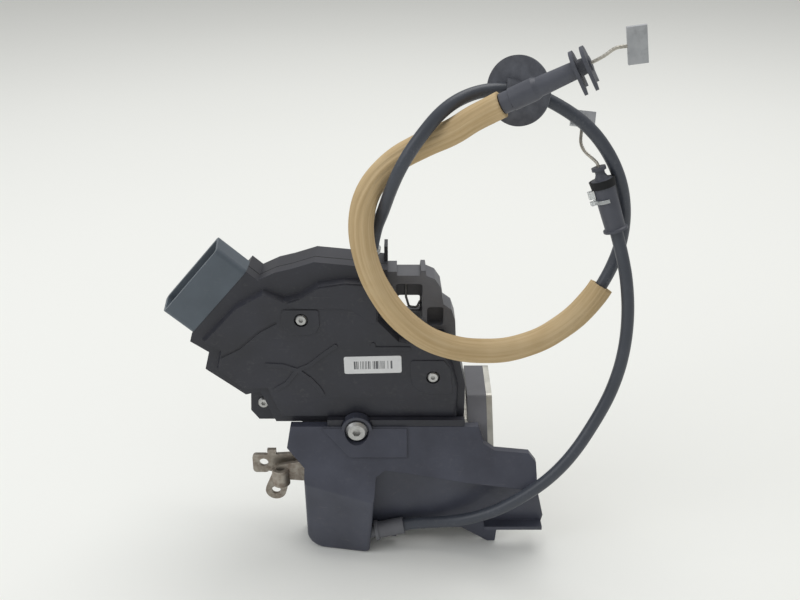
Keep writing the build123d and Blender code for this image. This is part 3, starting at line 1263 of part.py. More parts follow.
with BuildPart() as ferrule_b_clip:
    with BuildSketch(FERRULE_B.offset(10.5)):
        Circle(BODY_B + 0.9)
        Circle(BODY_B + FIT, mode=Mode.SUBTRACT)
        with Locations((8.0, 0.0)):
            Rectangle(16.0, 16.0, mode=Mode.SUBTRACT)
    extrude(amount=1.6)
    with BuildSketch(FERRULE_B.offset(10.5)):
        with Locations((-BODY_B - 1.6, 0.0)):
            Rectangle(2.4, 3.0)
    extrude(amount=COLLAR_B[0] - 10.7)
    with BuildSketch(FERRULE_B.offset(12.2)):
        with Locations((-BODY_B - 2.2, 0.0)):
            Rectangle(2.2, 4.0)
    extrude(amount=1.4, mode=Mode.SUBTRACT)
save(ferrule_b_clip, "ferrule_b_clip")


def wire_and_nipple(plane, first, last, bend, tip, plate, plate_x):
    """Steel rope straight to a height over its ferrule, then bent to the flat nipple at a tip."""
    start, mouth = plane.from_local_coords(Vector(0, 0, first)), plane.from_local_coords(Vector(0, 0, last))
    with BuildPart() as rope:
        with BuildLine() as run:
            Line(start, mouth)
            Bezier(mouth, mouth + plane.z_dir * bend, Vector(*tip[0]), Vector(*tip[1]))
            Line(Vector(*tip[1]), Vector(*tip[1]) + (Vector(*tip[1]) - Vector(*tip[0])).normalized() * 3.5)
        with BuildSketch(start_plane(run.line)):
            Circle(WIRE)
        sweep(path=run.line)
    arrow = run.line % 1
    with BuildPart() as block:
        with BuildSketch(Plane(origin=run.line @ 1 - arrow * 3.0, x_dir=plate_x, z_dir=arrow)):
            Rectangle(plate[0], plate[2])
        extrude(amount=plate[1])
        with BuildSketch(Plane(origin=run.line @ 1 - arrow * 3.0, x_dir=plate_x, z_dir=arrow)):
            Circle(WIRE + FIT)
        extrude(amount=3.0, mode=Mode.SUBTRACT)
    return rope, block


NIPPLE_A = (15.0, 8.0, 3.0)     # height, width along the wire, thickness
NIPPLE_B = (11.0, 7.0, 3.0)
wire_a, nipple_a = wire_and_nipple(
    FERRULE_A, 8.0, FERRULE_LENGTH + 12.0, 3.0, [(108.8, -30.2, 258.2), (113.3, -30.7, 258.9)],
    NIPPLE_A, (0, 0, 1))
save(wire_a, "wire_a")
save(nipple_a, "nipple_a")
wire_b, nipple_b = wire_and_nipple(
    FERRULE_B, 8.0, 27.0, 2.0, [(104.0, -2.0, 209.0), (105.1, 2.4, 217.3)], NIPPLE_B, (1, 0, 0))
save(wire_b, "wire_b")
save(nipple_b, "nipple_b")

# rubber disc that closes the hole where cable A passes through the panel
DISC_RADIUS, DISC_THICK = 15.5, 1.4
DISC_AT = 8                 # the route's point it sits at
DISC_NORMAL = (-0.55, -0.83, 0.1)
RUBBER_GAP = 0.3
with BuildPart() as disc_bore:
    with BuildLine() as disc_line:
        FilletPolyline(*CONDUIT_A[DISC_AT - 1:DISC_AT + 3], radius=bend_radii(CONDUIT_A)[DISC_AT - 1:DISC_AT + 1])
    with BuildSketch(start_plane(disc_line.line)):
        Circle(CONDUIT / 2 + RUBBER_GAP)
    sweep(path=disc_line.line)
DISC_CENTRE = disc_line.line @ 0.5
with BuildPart() as grommet_disc:
    with BuildSketch(Plane(origin=DISC_CENTRE, z_dir=DISC_NORMAL)):
        Circle(DISC_RADIUS)
    extrude(amount=DISC_THICK)
    with BuildSketch(Plane(origin=DISC_CENTRE - (disc_line.line % 0.5) * 6.0, z_dir=disc_line.line % 0.5)):
        Circle(CONDUIT / 2 + 1.8)
    extrude(amount=12.0)
    add(disc_bore.part, mode=Mode.SUBTRACT)
save(grommet_disc, "grommet_disc")

# collars where the conduits enter the casing and the lower cover
with BuildPart() as entry_collar_a:
    add(turned(ENTRY_A_PLANE, [
        (WIRE_BORE, -5.7), (NECK, -5.7), (NECK, -2.2), (4.6, -2.2), (4.6, -1.0), (3.9, -0.6), (3.9, 2.4),
        (SOCKET_RADIUS, 2.4), (SOCKET_RADIUS, -0.2), (WIRE_BORE, -0.2)]))
save(entry_collar_a, "entry_collar_a")
with BuildPart() as clear_ring_a:
    add(turned(ENTRY_A_PLANE, [
        (SOCKET_RADIUS, 2.4), (4.2, 2.4), (4.2, 4.8), (SOCKET_RADIUS, 4.8)]))
save(clear_ring_a, "clear_ring_a")
with BuildPart() as entry_collar_b:
    add(turned(ENTRY_B_PLANE, [
        (WIRE_BORE, -0.2), (SOCKET_RADIUS, -0.2), (SOCKET_RADIUS, SOCKET), (4.3, SOCKET), (4.3, -9.0),
        (5.2, -9.6), (5.2, -11.0), (NECK, -11.0), (NECK, -16.0), (WIRE_BORE, -16.0)]))
save(entry_collar_b, "entry_collar_b")
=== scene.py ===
# %% [markdown]
# # Dressing a door latch actuator
# The solid model of the latch is already built: two casing halves, a hooded cover, the
# catch, five levers and two release cables. This notebook gives every part its finish,
# and adds the parts that solids can't show, such as rope strands and grooved foam.
# The first cell brings the solids in from model.glb as a frame that never moves; the rest is
# fitted to it.

# %% Load the frame
import json
import bpy
import numpy as np
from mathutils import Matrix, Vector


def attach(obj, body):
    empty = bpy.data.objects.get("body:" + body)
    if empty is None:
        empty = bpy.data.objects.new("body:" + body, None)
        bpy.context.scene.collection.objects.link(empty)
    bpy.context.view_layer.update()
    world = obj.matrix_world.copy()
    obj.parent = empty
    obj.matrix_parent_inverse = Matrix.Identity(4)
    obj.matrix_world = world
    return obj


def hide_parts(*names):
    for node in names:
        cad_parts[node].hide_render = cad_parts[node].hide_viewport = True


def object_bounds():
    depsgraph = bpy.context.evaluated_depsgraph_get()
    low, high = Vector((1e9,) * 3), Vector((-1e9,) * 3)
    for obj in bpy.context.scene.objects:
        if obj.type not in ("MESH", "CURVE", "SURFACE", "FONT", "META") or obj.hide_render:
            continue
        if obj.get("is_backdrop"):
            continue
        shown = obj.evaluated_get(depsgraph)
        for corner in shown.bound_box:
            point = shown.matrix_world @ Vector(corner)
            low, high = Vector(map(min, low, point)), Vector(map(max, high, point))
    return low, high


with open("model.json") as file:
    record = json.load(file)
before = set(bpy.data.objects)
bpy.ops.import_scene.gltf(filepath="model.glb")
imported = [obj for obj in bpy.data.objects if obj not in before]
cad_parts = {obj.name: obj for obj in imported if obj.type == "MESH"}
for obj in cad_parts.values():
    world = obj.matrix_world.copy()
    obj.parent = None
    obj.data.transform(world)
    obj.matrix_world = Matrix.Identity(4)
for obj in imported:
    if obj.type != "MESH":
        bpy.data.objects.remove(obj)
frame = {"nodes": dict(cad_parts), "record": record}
nodes = frame["nodes"]
solid_box = [[float(v) for v in corner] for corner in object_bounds()]
MM = 0.001
print("solids:", len(nodes), "box in metres:", np.round(solid_box, 4).tolist())

# %% [markdown]
# ## Camera
# A picture needs a viewpoint, so the camera comes first.
# The camera stands in front of the latch, a little above it, and looks down at 25
# degrees. A 40.5 mm lens on the usual 36 mm sensor gives a natural view of a small
# object on a table.

# %% Camera
camera = bpy.data.objects.new("camera", bpy.data.cameras.new("camera"))
camera.data.lens = 40.5
camera.data.sensor_width = 36.0
camera.data.clip_start = 0.01
camera.location = (0.022, -0.4035, 0.3196)
camera.rotation_euler = (np.radians(65.0), 0.0, 0.0)
bpy.context.scene.collection.objects.link(camera)
bpy.context.scene.camera = camera
bpy.context.scene.view_settings.view_transform = "Standard"
print("camera at", tuple(round(v, 3) for v in camera.location))

# %% [markdown]
# ## Cords from curves
# Each release cable is a plastic conduit of fixed length. A NURBS curve suits it: a
# few points pull a smooth line towards them. The curve is only a guide: Blender turns
# it into a mesh of plain points, which are read back, and everything on the cable
# then follows that very line. The order and the end rule are set after the points
# exist, since Blender limits the order to the number of points a spline has then.

# %% Helper: the smooth line of a route
def smooth_line(name, route):
    """Points in mm along the NURBS line that a route's points pull towards them."""
    curve = bpy.data.curves.new(name, "CURVE")
    curve.dimensions = "3D"
    spline = curve.splines.new("NURBS")
    spline.points.add(len(route) - 1)
    ends = np.column_stack([np.array(route) * MM, np.ones(len(route))])
    spline.points.foreach_set("co", ends.ravel())
    spline.order_u = 3
    spline.use_endpoint_u = True
    curve.resolution_u = 10
    guide = bpy.data.objects.new(name, curve)
    bpy.context.scene.collection.objects.link(guide)
    mesh = bpy.data.meshes.new_from_object(guide)
    points = np.empty(len(mesh.vertices) * 3, np.float32)
    mesh.vertices.foreach_get("co", points)
    bpy.data.objects.remove(guide)
    bpy.data.curves.remove(curve)
    bpy.data.meshes.remove(mesh)
    return points.reshape(-1, 3).astype(float) / MM


def run_length(line):
    """Distance from the start to every point of a line."""
    steps = np.linalg.norm(np.diff(line, axis=0), axis=1)
    return np.concatenate([[0.0], np.cumsum(steps)])


print("line helpers ready")

# %% [markdown]
# The first conduit leaves the top of the casing and makes a little over one turn
# before its ferrule; the second leaves the hood at the bottom and sweeps up at the
# right. Both are stiff enough to stand up by themselves.

# %% Routes of the two conduits
ROUTE_A = [
    (8.0, -1.0, 155.7), (10.0, -3.0, 169.0), (14.2, -8.0, 180.5), (17.8, -13.5, 193.0),
    (23.0, -16.0, 205.5), (31.0, -15.5, 218.0), (41.5, -10.5, 229.3), (54.0, -4.5, 234.7),
    (67.5, -2.0, 236.0), (81.5, -2.5, 234.0), (94.5, -4.0, 228.0), (106.5, -7.0, 220.0),
    (116.5, -8.0, 208.0), (123.8, -7.0, 193.5), (127.5, -5.0, 177.5), (127.0, -4.5, 162.0),
    (122.5, -5.5, 148.0), (115.0, -8.0, 135.0), (104.0, -11.5, 124.5), (90.5, -15.0, 117.0),
    (74.5, -18.0, 113.0), (57.5, -20.5, 113.5), (41.5, -22.5, 118.0), (27.5, -23.5, 127.0),
    (16.0, -22.5, 139.5), (8.0, -19.5, 154.0), (4.0, -14.5, 168.5), (4.0, -9.0, 182.0),
    (9.6, -5.0, 194.0), (19.5, -3.5, 203.8), (32.0, -5.0, 211.3), (45.0, -9.5, 217.8),
    (57.0, -17.0, 228.2), (69.2, -20.0, 234.8),
]
ROUTE_B = [
    (20.0, -27.0, 13.5), (30.0, -26.5, 15.5), (42.0, -27.5, 16.5), (56.0, -30.0, 20.3),
    (70.0, -33.5, 28.0), (83.5, -36.0, 39.0), (96.0, -36.5, 50.5), (107.0, -34.5, 63.5),
    (116.5, -30.0, 78.0), (124.0, -27.5, 94.0), (128.5, -25.0, 111.0), (130.0, -22.0, 128.0),
    (129.0, -19.0, 144.5), (125.5, -16.5, 161.5), (120.0, -14.2, 177.5),
]
line_a = smooth_line("loop_guide", ROUTE_A)
line_b = smooth_line("side_guide", ROUTE_B)
LENGTH_A, LENGTH_B = run_length(line_a)[-1], run_length(line_b)[-1]
print("conduits:", round(LENGTH_A, 1), "mm and", round(LENGTH_B, 1), "mm")

# %% [markdown]
# ## Surfaces from arrays
# Every new piece is a grid of points with faces between neighbours. The grid may be
# closed round one or both of its directions, which gives a tube or a ring. Whole
# arrays are filled at once, and the piece also gets a UV map, so that a pattern can
# run along it.

# %% Helper: a grid of points becomes a piece
def grid_piece(name, points, closed_rows=False, smooth=True):
    """A mesh from points[row, column] in mm, whose columns close into rings."""
    rows, columns = points.shape[:2]
    last = rows if closed_rows else rows - 1
    r, c = np.meshgrid(np.arange(last), np.arange(columns), indexing="ij")
    up, over = r + 1, c + 1
    corners = np.stack([np.stack([r, c], -1), np.stack([r, over], -1),
                        np.stack([up, over], -1), np.stack([up, c], -1)], 2).reshape(-1, 2)
    index = (corners[:, 0] % rows) * columns + corners[:, 1] % columns
    faces = index.reshape(-1, 4).tolist()
    if not closed_rows:
        first_ring = list(range(columns))
        faces += [first_ring[::-1], [(rows - 1) * columns + k for k in first_ring]]
    mesh = bpy.data.meshes.new(name)
    mesh.from_pydata((points.reshape(-1, 3) * MM).tolist(), [], faces)
    uv = np.zeros((len(mesh.loops), 2))
    uv[:len(corners)] = corners / np.array([last, columns])
    mesh.uv_layers.new(name="UVMap").data.foreach_set("uv", uv.ravel())
    mesh.polygons.foreach_set("use_smooth", np.full(len(faces), smooth))
    mesh.update()
    piece = bpy.data.objects.new(name, mesh)
    bpy.context.scene.collection.objects.link(piece)
    return piece


# %% [markdown]
# A profile carried along a line needs two directions square to the line at every
# point. The cables loop in a nearly flat ring that faces the front, so the direction
# away from the ring's middle comes from crossing the line's own direction with the
# front-to-back axis.

# %% Helper: carry a profile along a line
def stretch(line, start, end, count):
    """Evenly spaced points of a line between two distances along it."""
    at = np.linspace(start, end, count)
    run = run_length(line)
    return np.column_stack([np.interp(at, run, line[:, axis]) for axis in range(3)])


def unit(vectors):
    """Each vector divided by its own length."""
    return vectors / np.linalg.norm(vectors, axis=-1, keepdims=True)


def ring_angles(rows, columns):
    """One full turn of angles for every row, with the end not repeated."""
    turn = np.linspace(0, 2 * np.pi, columns, endpoint=False)
    return np.broadcast_to(turn, (rows, columns))


def carried(line, radius, angle):
    """Points at a radius and angle round each point of a line.

    point = line + radius * (cos(angle) * outward + sin(angle) * towards the viewer),
    with radius[row, column] and angle[row, column] as whole arrays.
    """
    ahead = unit(np.gradient(line, axis=0))
    outward = unit(np.cross(ahead, (0.0, 1.0, 0.0)))
    forward = np.cross(ahead, outward)
    sideways = (np.cos(angle)[..., None] * outward[:, None]
                + np.sin(angle)[..., None] * forward[:, None])
    return line[:, None] + radius[..., None] * sideways


print("surface helpers ready")


# %% [markdown]
# ## Conduits
# Each conduit is a ring of 32 points carried along its line. Extruded tube is never
# perfectly even: its radius swells and shrinks by two hundredths of a millimetre.

# %% Conduits
CONDUIT_RADIUS, CONDUIT_COLUMNS = 3.0, 32
LOOP_ROWS, SIDE_ROWS = 420, 200
SWELL_LONG, SWELL_SHORT = 0.012, 0.008    # heights of the two waves, mm


def tube(name, line, rows):
    """A round tube: its radius stays under R by the height of two waves along it."""
    length = run_length(line)[-1]
    angle = ring_angles(rows, CONDUIT_COLUMNS)
    distance = np.linspace(0, length, rows)[:, None]
    swell = (SWELL_LONG * np.sin(distance / 7.0)
             + SWELL_SHORT * np.sin(distance / 2.3 + angle))
    radius = CONDUIT_RADIUS - (SWELL_LONG + SWELL_SHORT) + swell
    return grid_piece(name, carried(stretch(line, 0.0, length, rows), radius, angle))


loop_conduit = tube("loop_conduit", line_a, LOOP_ROWS)
side_conduit = tube("side_conduit", line_b, SIDE_ROWS)
print("conduit faces:", len(loop_conduit.data.polygons) + len(side_conduit.data.polygons))

# %% [markdown]
# ## Foam sleeve
# A tan foam tube is pushed over the loop so that it doesn't rattle against the door.
# It is a slit extrusion, which leaves long shallow grooves on its outer side. The
# outside is a circle with three soft dents that follow the cable, and the inside is a
# plain bore; both are joined at the cut ends into one closed ring of rows.

# %% Foam sleeve
FOAM_RADIUS, FOAM_BORE = 6.0, 3.3
FOAM_ROWS, FOAM_COLUMNS = 260, 72
FOAM_SKIN = 0.12                        # the swell's middle lies this far under the radius, mm
GROOVES = ((0.95, 0.42, 0.12), (1.52, 0.34, 0.10), (4.1, 0.4, 0.1))    # angle, depth, width
FOAM_FROM = (np.array(ROUTE_A[16]) + ROUTE_A[17]) / 2
FOAM_END = LENGTH_A - 4.3


def foam_rows(line, reach, seed):
    """Outer rows: a circle minus three grooves, with a slow swell along the length."""
    angle = ring_angles(len(line), FOAM_COLUMNS)
    along = np.linspace(0, 1, len(line))[:, None]
    wander = 0.07 * np.sin(9.0 * along + seed)
    groove = sum(depth * np.exp(-((angle - at - wander) / width) ** 2)
                 for at, depth, width in GROOVES)
    swell = (0.10 * np.sin(31 * along + 2.1 * np.sin(angle))
             + 0.06 * np.sin(83 * along + 3 * angle))
    return carried(line, reach - FOAM_SKIN - groove + swell, angle)


nearest = np.argmin(np.linalg.norm(line_a - FOAM_FROM, axis=1))
foam_start = run_length(line_a)[nearest]
foam_line = stretch(line_a, foam_start, FOAM_END, FOAM_ROWS)
outer = foam_rows(foam_line, FOAM_RADIUS, 0.4)
bore = carried(foam_line, np.full((FOAM_ROWS, FOAM_COLUMNS), FOAM_BORE),
               ring_angles(FOAM_ROWS, FOAM_COLUMNS))
foam = grid_piece("foam_tube", np.concatenate([outer, bore[::-1]]), closed_rows=True)
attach(foam, "housing")
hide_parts("foam_sleeve")
print("sleeve:", round(FOAM_END - foam_start, 1), "mm long,", len(foam.data.polygons), "faces")

# %% [markdown]
# ## Steel ropes
# The bare ends of the release ropes show their strands: six bundles that wind round
# the middle. Seen from outside, that is a circle whose radius rises and falls six
# times, and the whole pattern turns as it goes along. Each rope's line is again a
# NURBS curve, read back as points.

# %% Rope ends
ROPE_RADIUS, STRANDS, LAY_LENGTH = 0.75, 6, 9.0
STRAND_DEPTH = 0.16                     # share of the radius between two strands
ROPE_ROWS, ROPE_COLUMNS = 220, 48


def rope(name, route, body, replaced):
    """Strands: radius = R * (1 - d + d * |cos|) of an angle that turns along the rope."""
    line = smooth_line(name + "_guide", route)
    length = run_length(line)[-1]
    line = stretch(line, 0.0, length, ROPE_ROWS)
    angle = ring_angles(ROPE_ROWS, ROPE_COLUMNS)
    turn = 2 * np.pi * np.linspace(0, length, ROPE_ROWS)[:, None] / LAY_LENGTH
    crest = np.abs(np.cos(STRANDS / 2 * (angle - turn)))
    radius = ROPE_RADIUS * (1 - STRAND_DEPTH + STRAND_DEPTH * crest)
    piece = grid_piece(name, carried(line, radius, angle))
    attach(piece, body)
    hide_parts(replaced)
    return piece, line * MM, length * MM


def beyond(route, steps):
    """Points straight on past a route's last point, at distances in mm."""
    before, last = np.array(route[-2]), np.array(route[-1])
    return [tuple(last + unit(last - before) * step) for step in steps]


ROPE_ROUTE_A = beyond(ROUTE_A, (8.0, 24.0, 41.5))
ROPE_ROUTE_A += [(108.8, -30.2, 258.2), (113.3, -30.7, 258.9), (116.7, -31.1, 259.4)]
ROPE_ROUTE_B = beyond(ROUTE_B, (8.0, 18.0, 27.0, 29.0))
ROPE_ROUTE_B += [(104.0, -2.0, 209.0), (105.1, 2.4, 217.3), (105.5, 4.0, 220.4)]
rope_a, rope_line_a, rope_length_a = rope("rope_a", ROPE_ROUTE_A, "cable_a_end", "wire_a")
rope_b, rope_line_b, rope_length_b = rope("rope_b", ROPE_ROUTE_B, "cable_b_end", "wire_b")
print("ropes:", np.round([rope_length_a / MM, rope_length_b / MM], 1).tolist(), "mm")

# %% [markdown]
# Now both conduits are attached to the housing, and the solid conduits that they stand in
# for are hidden.

for conduit, node in ((loop_conduit, "conduit_a"), (side_conduit, "conduit_b")):
    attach(conduit, "housing")
    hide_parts(node)
line_a * MM
line_b * MM

# %% [markdown]
# ## Shader arithmetic
# Blender's materials are graphs of nodes, and long graphs are hard to read. This
# small class wraps a socket, so that `1 - mask * 0.5` adds the Math nodes by itself.

# %% Helper: sockets that can be added and multiplied
class Wire:
    """An output socket in one finish's graph; + - * on it add Math nodes."""

    def __init__(self, finish, socket):
        self.finish, self.socket = finish, socket

    def sum_with(self, operation, first, second):
        return self.finish.node("ShaderNodeMath", {"operation": operation}, {0: first, 1: second})

    def __add__(self, other):
        return self.sum_with("ADD", self, other)

    def __sub__(self, other):
        return self.sum_with("SUBTRACT", self, other)

    def __rsub__(self, other):
        return self.sum_with("SUBTRACT", other, self)

    def __mul__(self, other):
        return self.sum_with("MULTIPLY", self, other)

    def above(self, limit):
        """1 above the limit and 0 below it."""
        return self.sum_with("GREATER_THAN", self, limit)

    def between(self, low, high):
        """0 below low, 1 above high and a straight slope between them."""
        return self.finish.node("ShaderNodeMath", {"operation": "MULTIPLY", "use_clamp": True},
                                {0: self - low, 1: 1.0 / (high - low)})

    __radd__ = __add__
    __rmul__ = __mul__


def shade(code):
    """A colour written as in a paint program, as the linear numbers that shaders use."""
    value = np.array([int(code[k:k + 2], 16) for k in (1, 3, 5)]) / 255.0
    linear = np.where(value <= 0.04045, value / 12.92, ((value + 0.055) / 1.055) ** 2.4)
    return (*linear.tolist(), 1.0)


print("charcoal in linear numbers:", np.round(shade("#30333a"), 4))

# %% [markdown]
# A finish is a material with one Principled shader. Its `node` method is the only
# place that makes nodes: it takes the node's type, its settings, and the values or
# wires of its inputs.

# %% Helper: a finish and its nodes
class Finish:
    """A procedural material; shader sockets that stay the same all over are constants."""

    def __init__(self, name, **constants):
        self.material = bpy.data.materials.new(name)
        self.material.use_nodes = True
        self.tree = self.material.node_tree
        self.tree.nodes.clear()
        self.shader = self.tree.nodes.new("ShaderNodeBsdfPrincipled")
        output = self.tree.nodes.new("ShaderNodeOutputMaterial")
        self.tree.links.new(self.shader.outputs[0], output.inputs["Surface"])
        self.feed(self.shader, {key.replace("_", " "): value for key, value in constants.items()})
        self.place = self.node("ShaderNodeTexCoord", output="Object")
        self.strip = self.node("ShaderNodeTexCoord", output="UV")

    def feed(self, node, inputs):
        """Each input gets a link from a wire, or a plain value."""
        for key, value in inputs.items():
            if isinstance(value, Wire):
                self.tree.links.new(value.socket, node.inputs[key])
            else:
                node.inputs[key].default_value = value

    def node(self, kind, settings=None, inputs=None, output=0):
        """Any node: settings first, because they decide which sockets it has."""
        node = self.tree.nodes.new(kind)
        for key, value in (settings or {}).items():
            setattr(node, key, value)
        self.feed(node, inputs or {})
        return Wire(self, node.outputs[output])

    def noise(self, scale, detail=3.0, roughness=0.55, where=None):
        """Cloudy values about 0.5, on Object coordinates unless told where."""
        return self.node("ShaderNodeTexNoise", None, {
            "Vector": where or self.place, "Scale": scale, "Detail": detail,
            "Roughness": roughness})

    def stretched(self, x, y, z, where=None, turn=(0.0, 0.0, 0.0)):
        """Coordinates scaled by different amounts, for scratches and streaks."""
        return self.node("ShaderNodeMapping", None, {
            "Vector": where or self.place, "Scale": (x, y, z), "Rotation": turn})

    def blend(self, amount, first, second):
        """A colour between two others."""
        return self.node("ShaderNodeMix", {"data_type": "RGBA"},
                         {0: amount, 6: first, 7: second}, output=2)

    def bumped(self, height, depth, strength=1.0, edge=0.0):
        """A normal from a height in mm; edge rounds the corners by that many mm."""
        inputs = {"Height": height, "Distance": depth * MM, "Strength": strength}
        if edge:
            inputs["Normal"] = self.node("ShaderNodeBevel", {"samples": 4}, {"Radius": edge * MM})
        return self.node("ShaderNodeBump", None, inputs)

    def surface(self, **wires):
        """Connects the wires that vary over the surface to the shader."""
        self.feed(self.shader, {key.replace("_", " "): wire for key, wire in wires.items()})
        return self.material


print("helpers ready")

# %% [markdown]
# ## Moulded plastic
# The casing, the cover and the connector are injection-moulded plastic. Such plastic
# is never one even colour: it has broad cloudy patches where hands and cloths have
# been, a fine spark-eroded grain, thin scratches and a little dust. Each is a noise
# at its own scale, and a Bevel node softens the corners where light catches them.

# %% Helper: moulded plastic
def moulded(name, dark, light, rough, grain=0.02, edge=0.35, dust=0.10, scratch=0.35, coat=0.0):
    """Cloudy colour, fine grain, scratches, dust and soft corners."""
    finish = Finish(name, IOR=1.5, Coat_Weight=coat, Coat_Roughness=0.25)
    cloud = finish.noise(38.0, 4.0)
    patch = finish.noise(140.0, 3.0)
    grit = finish.noise(2600.0, 2.0)
    slanted = finish.stretched(90.0, 90.0, 1900.0, turn=(0.3, 0.5, 0.2))
    scuff = finish.noise(1.0, 2.0, where=slanted)
    scuff = scuff.between(0.66, 0.74) * patch.between(0.45, 0.6) * scratch
    powder = finish.noise(520.0, 4.0, 0.7).between(0.52, 0.75) * patch.between(0.42, 0.72)
    colour = finish.blend(cloud.between(0.3, 0.7), shade(dark), shade(light))
    colour = finish.blend(powder * dust + scuff * 0.22, colour, shade("#a9a7a0"))
    height = grit * 0.7 + finish.noise(900.0, 2.0) * 0.5 - scuff * 0.6
    return finish.surface(
        Base_Color=colour,
        Roughness=rough + (cloud - 0.5) * 0.16 + powder * 0.18 + scuff * 0.1,
        Normal=finish.bumped(height, grain, edge=edge))


casing_plastic = moulded("casing_plastic", "#25262d", "#30313a", 0.46)
cover_plastic = moulded("cover_plastic", "#3c3e49", "#4b4e5b", 0.36, grain=0.012, dust=0.08)
case_plastic = moulded("case_plastic", "#55565b", "#66676d", 0.5)
connector_plastic = moulded("connector_plastic", "#4b545d", "#5a646e", 0.42, dust=0.06)
ferrule_plastic = moulded("ferrule_plastic", "#44464f", "#565963", 0.5, grain=0.015, edge=0.2)
motor_plastic = moulded("motor_plastic", "#2a2a2c", "#38383a", 0.5)
gear_plastic = moulded("gear_plastic", "#c9c6ba", "#dedbd0", 0.38, dust=0.05, edge=0.15)
claw_plastic = moulded("claw_plastic", "#191a1d", "#26272b", 0.36, grain=0.01)
print("moulded plastics ready")

# %% [markdown]
# ## Rubber and conduit
# Rubber is matt, with a bloom of pale dust in its pores. The conduit is extruded and
# smooth, and has patches where rubbing has left it paler and rougher.

# %% Rubber and conduit
def rubber(name, dark, light):
    """Matt skin with a dusty bloom."""
    finish = Finish(name, IOR=1.45, Specular_IOR_Level=0.35)
    bloom = finish.noise(160.0, 5.0, 0.65).between(0.4, 0.75)
    pores = finish.noise(1800.0, 2.0)
    return finish.surface(
        Base_Color=finish.blend(bloom, shade(dark), shade(light)),
        Roughness=0.68 + bloom * 0.15,
        Normal=finish.bumped(pores, 0.03, edge=0.2))


def extruded(name, dark, light, rough):
    """Smooth skin whose rubbed patches are paler and rougher."""
    finish = Finish(name, IOR=1.5)
    patch = finish.noise(55.0, 4.0)
    rub = finish.noise(700.0, 3.0, 0.6).between(0.55, 0.8) * patch.between(0.45, 0.65)
    colour = finish.blend(patch, shade(dark), shade(light))
    return finish.surface(
        Base_Color=finish.blend(rub * 0.35, colour, shade("#8d8f92")),
        Roughness=rough + rub * 0.2 + (patch - 0.5) * 0.15,
        Normal=finish.bumped(finish.noise(1500.0, 2.0), 0.012))


seal_rubber = rubber("seal_rubber", "#17181a", "#2b2c2e")
grommet_rubber = rubber("grommet_rubber", "#54565d", "#6a6d75")
conduit_plastic = extruded("conduit_plastic", "#363a42", "#484d57", 0.42)
print("rubber and conduit ready")

# %% [markdown]
# ## Foam
# The sleeve is an open-celled foam that has yellowed to tan. Up close it has cells;
# from a little further off, the long streaks that the extruder's die left are what
# one sees. They run along the sleeve, so they're drawn on its UV map.

# %% Foam
def sleeve_foam():
    """Tan foam: long streaks on the UV map, small cells and some paler patches."""
    finish = Finish("foam", IOR=1.35, Specular_IOR_Level=0.15)
    broad_strip = finish.stretched(9.0, 26.0, 1.0, where=finish.strip)
    fine_strip = finish.stretched(40.0, 110.0, 1.0, where=finish.strip)
    streak = finish.noise(1.0, 4.0, 0.6, where=broad_strip)
    fine = finish.noise(1.0, 3.0, 0.6, where=fine_strip)
    patch = finish.noise(45.0, 3.0)
    cells = finish.node("ShaderNodeTexVoronoi", None, {"Vector": finish.place, "Scale": 1500.0})
    colour = finish.blend(streak.between(0.3, 0.7), shade("#b79e76"), shade("#ceb791"))
    colour = finish.blend(fine.between(0.55, 0.75) * 0.25, colour, shade("#9c835b"))
    colour = finish.blend(patch.between(0.5, 0.75) * 0.3, colour, shade("#dac7a5"))
    return finish.surface(
        Base_Color=colour, Roughness=0.88 - streak * 0.08,
        Normal=finish.bumped(cells * 0.5 + streak * 0.35 + fine * 0.2, 0.06, strength=0.6))


foam_finish = sleeve_foam()
foam.data.materials.append(foam_finish)
for conduit in (loop_conduit, side_conduit):
    conduit.data.materials.append(conduit_plastic)
print("foam and conduits dressed")

# %% [markdown]
# ## Metals
# Sheet steel that is zinc plated shows fine rolling lines, dull blotches and, after
# years in a door, brown grease and rust in patches. A cast zinc nipple is greyer and
# rougher. One function makes them all from a few numbers.

# %% Metals
RUST, OIL = "#5b4433", "#6d6c68"


def metal(name, dark, light, rough, stain=RUST, stained=0.25, lines=0.5, edge=0.15):
    """Rolled or cast metal: brushed lines, blotches, and a matt stain, not metallic."""
    finish = Finish(name)
    blotch = finish.noise(120.0, 4.0, 0.6)
    grime = finish.noise(210.0, 5.0, 0.7)
    grime = grime.between(0.62 - 0.3 * stained, 0.8 - 0.2 * stained) * stained
    sheet = finish.stretched(300.0, 2400.0, 2400.0, turn=(0.0, 0.4, 0.1))
    rolled = finish.noise(1.0, 3.0, where=sheet)
    colour = finish.blend(blotch.between(0.3, 0.7), shade(dark), shade(light))
    return finish.surface(
        Base_Color=finish.blend(grime, colour, shade(stain)),
        Metallic=1.0 - grime * 0.9,
        Roughness=rough + (blotch - 0.5) * 0.2 + grime * 0.35,
        Normal=finish.bumped(rolled * lines + finish.noise(1400.0, 2.0) * 0.5, 0.012, edge=edge))


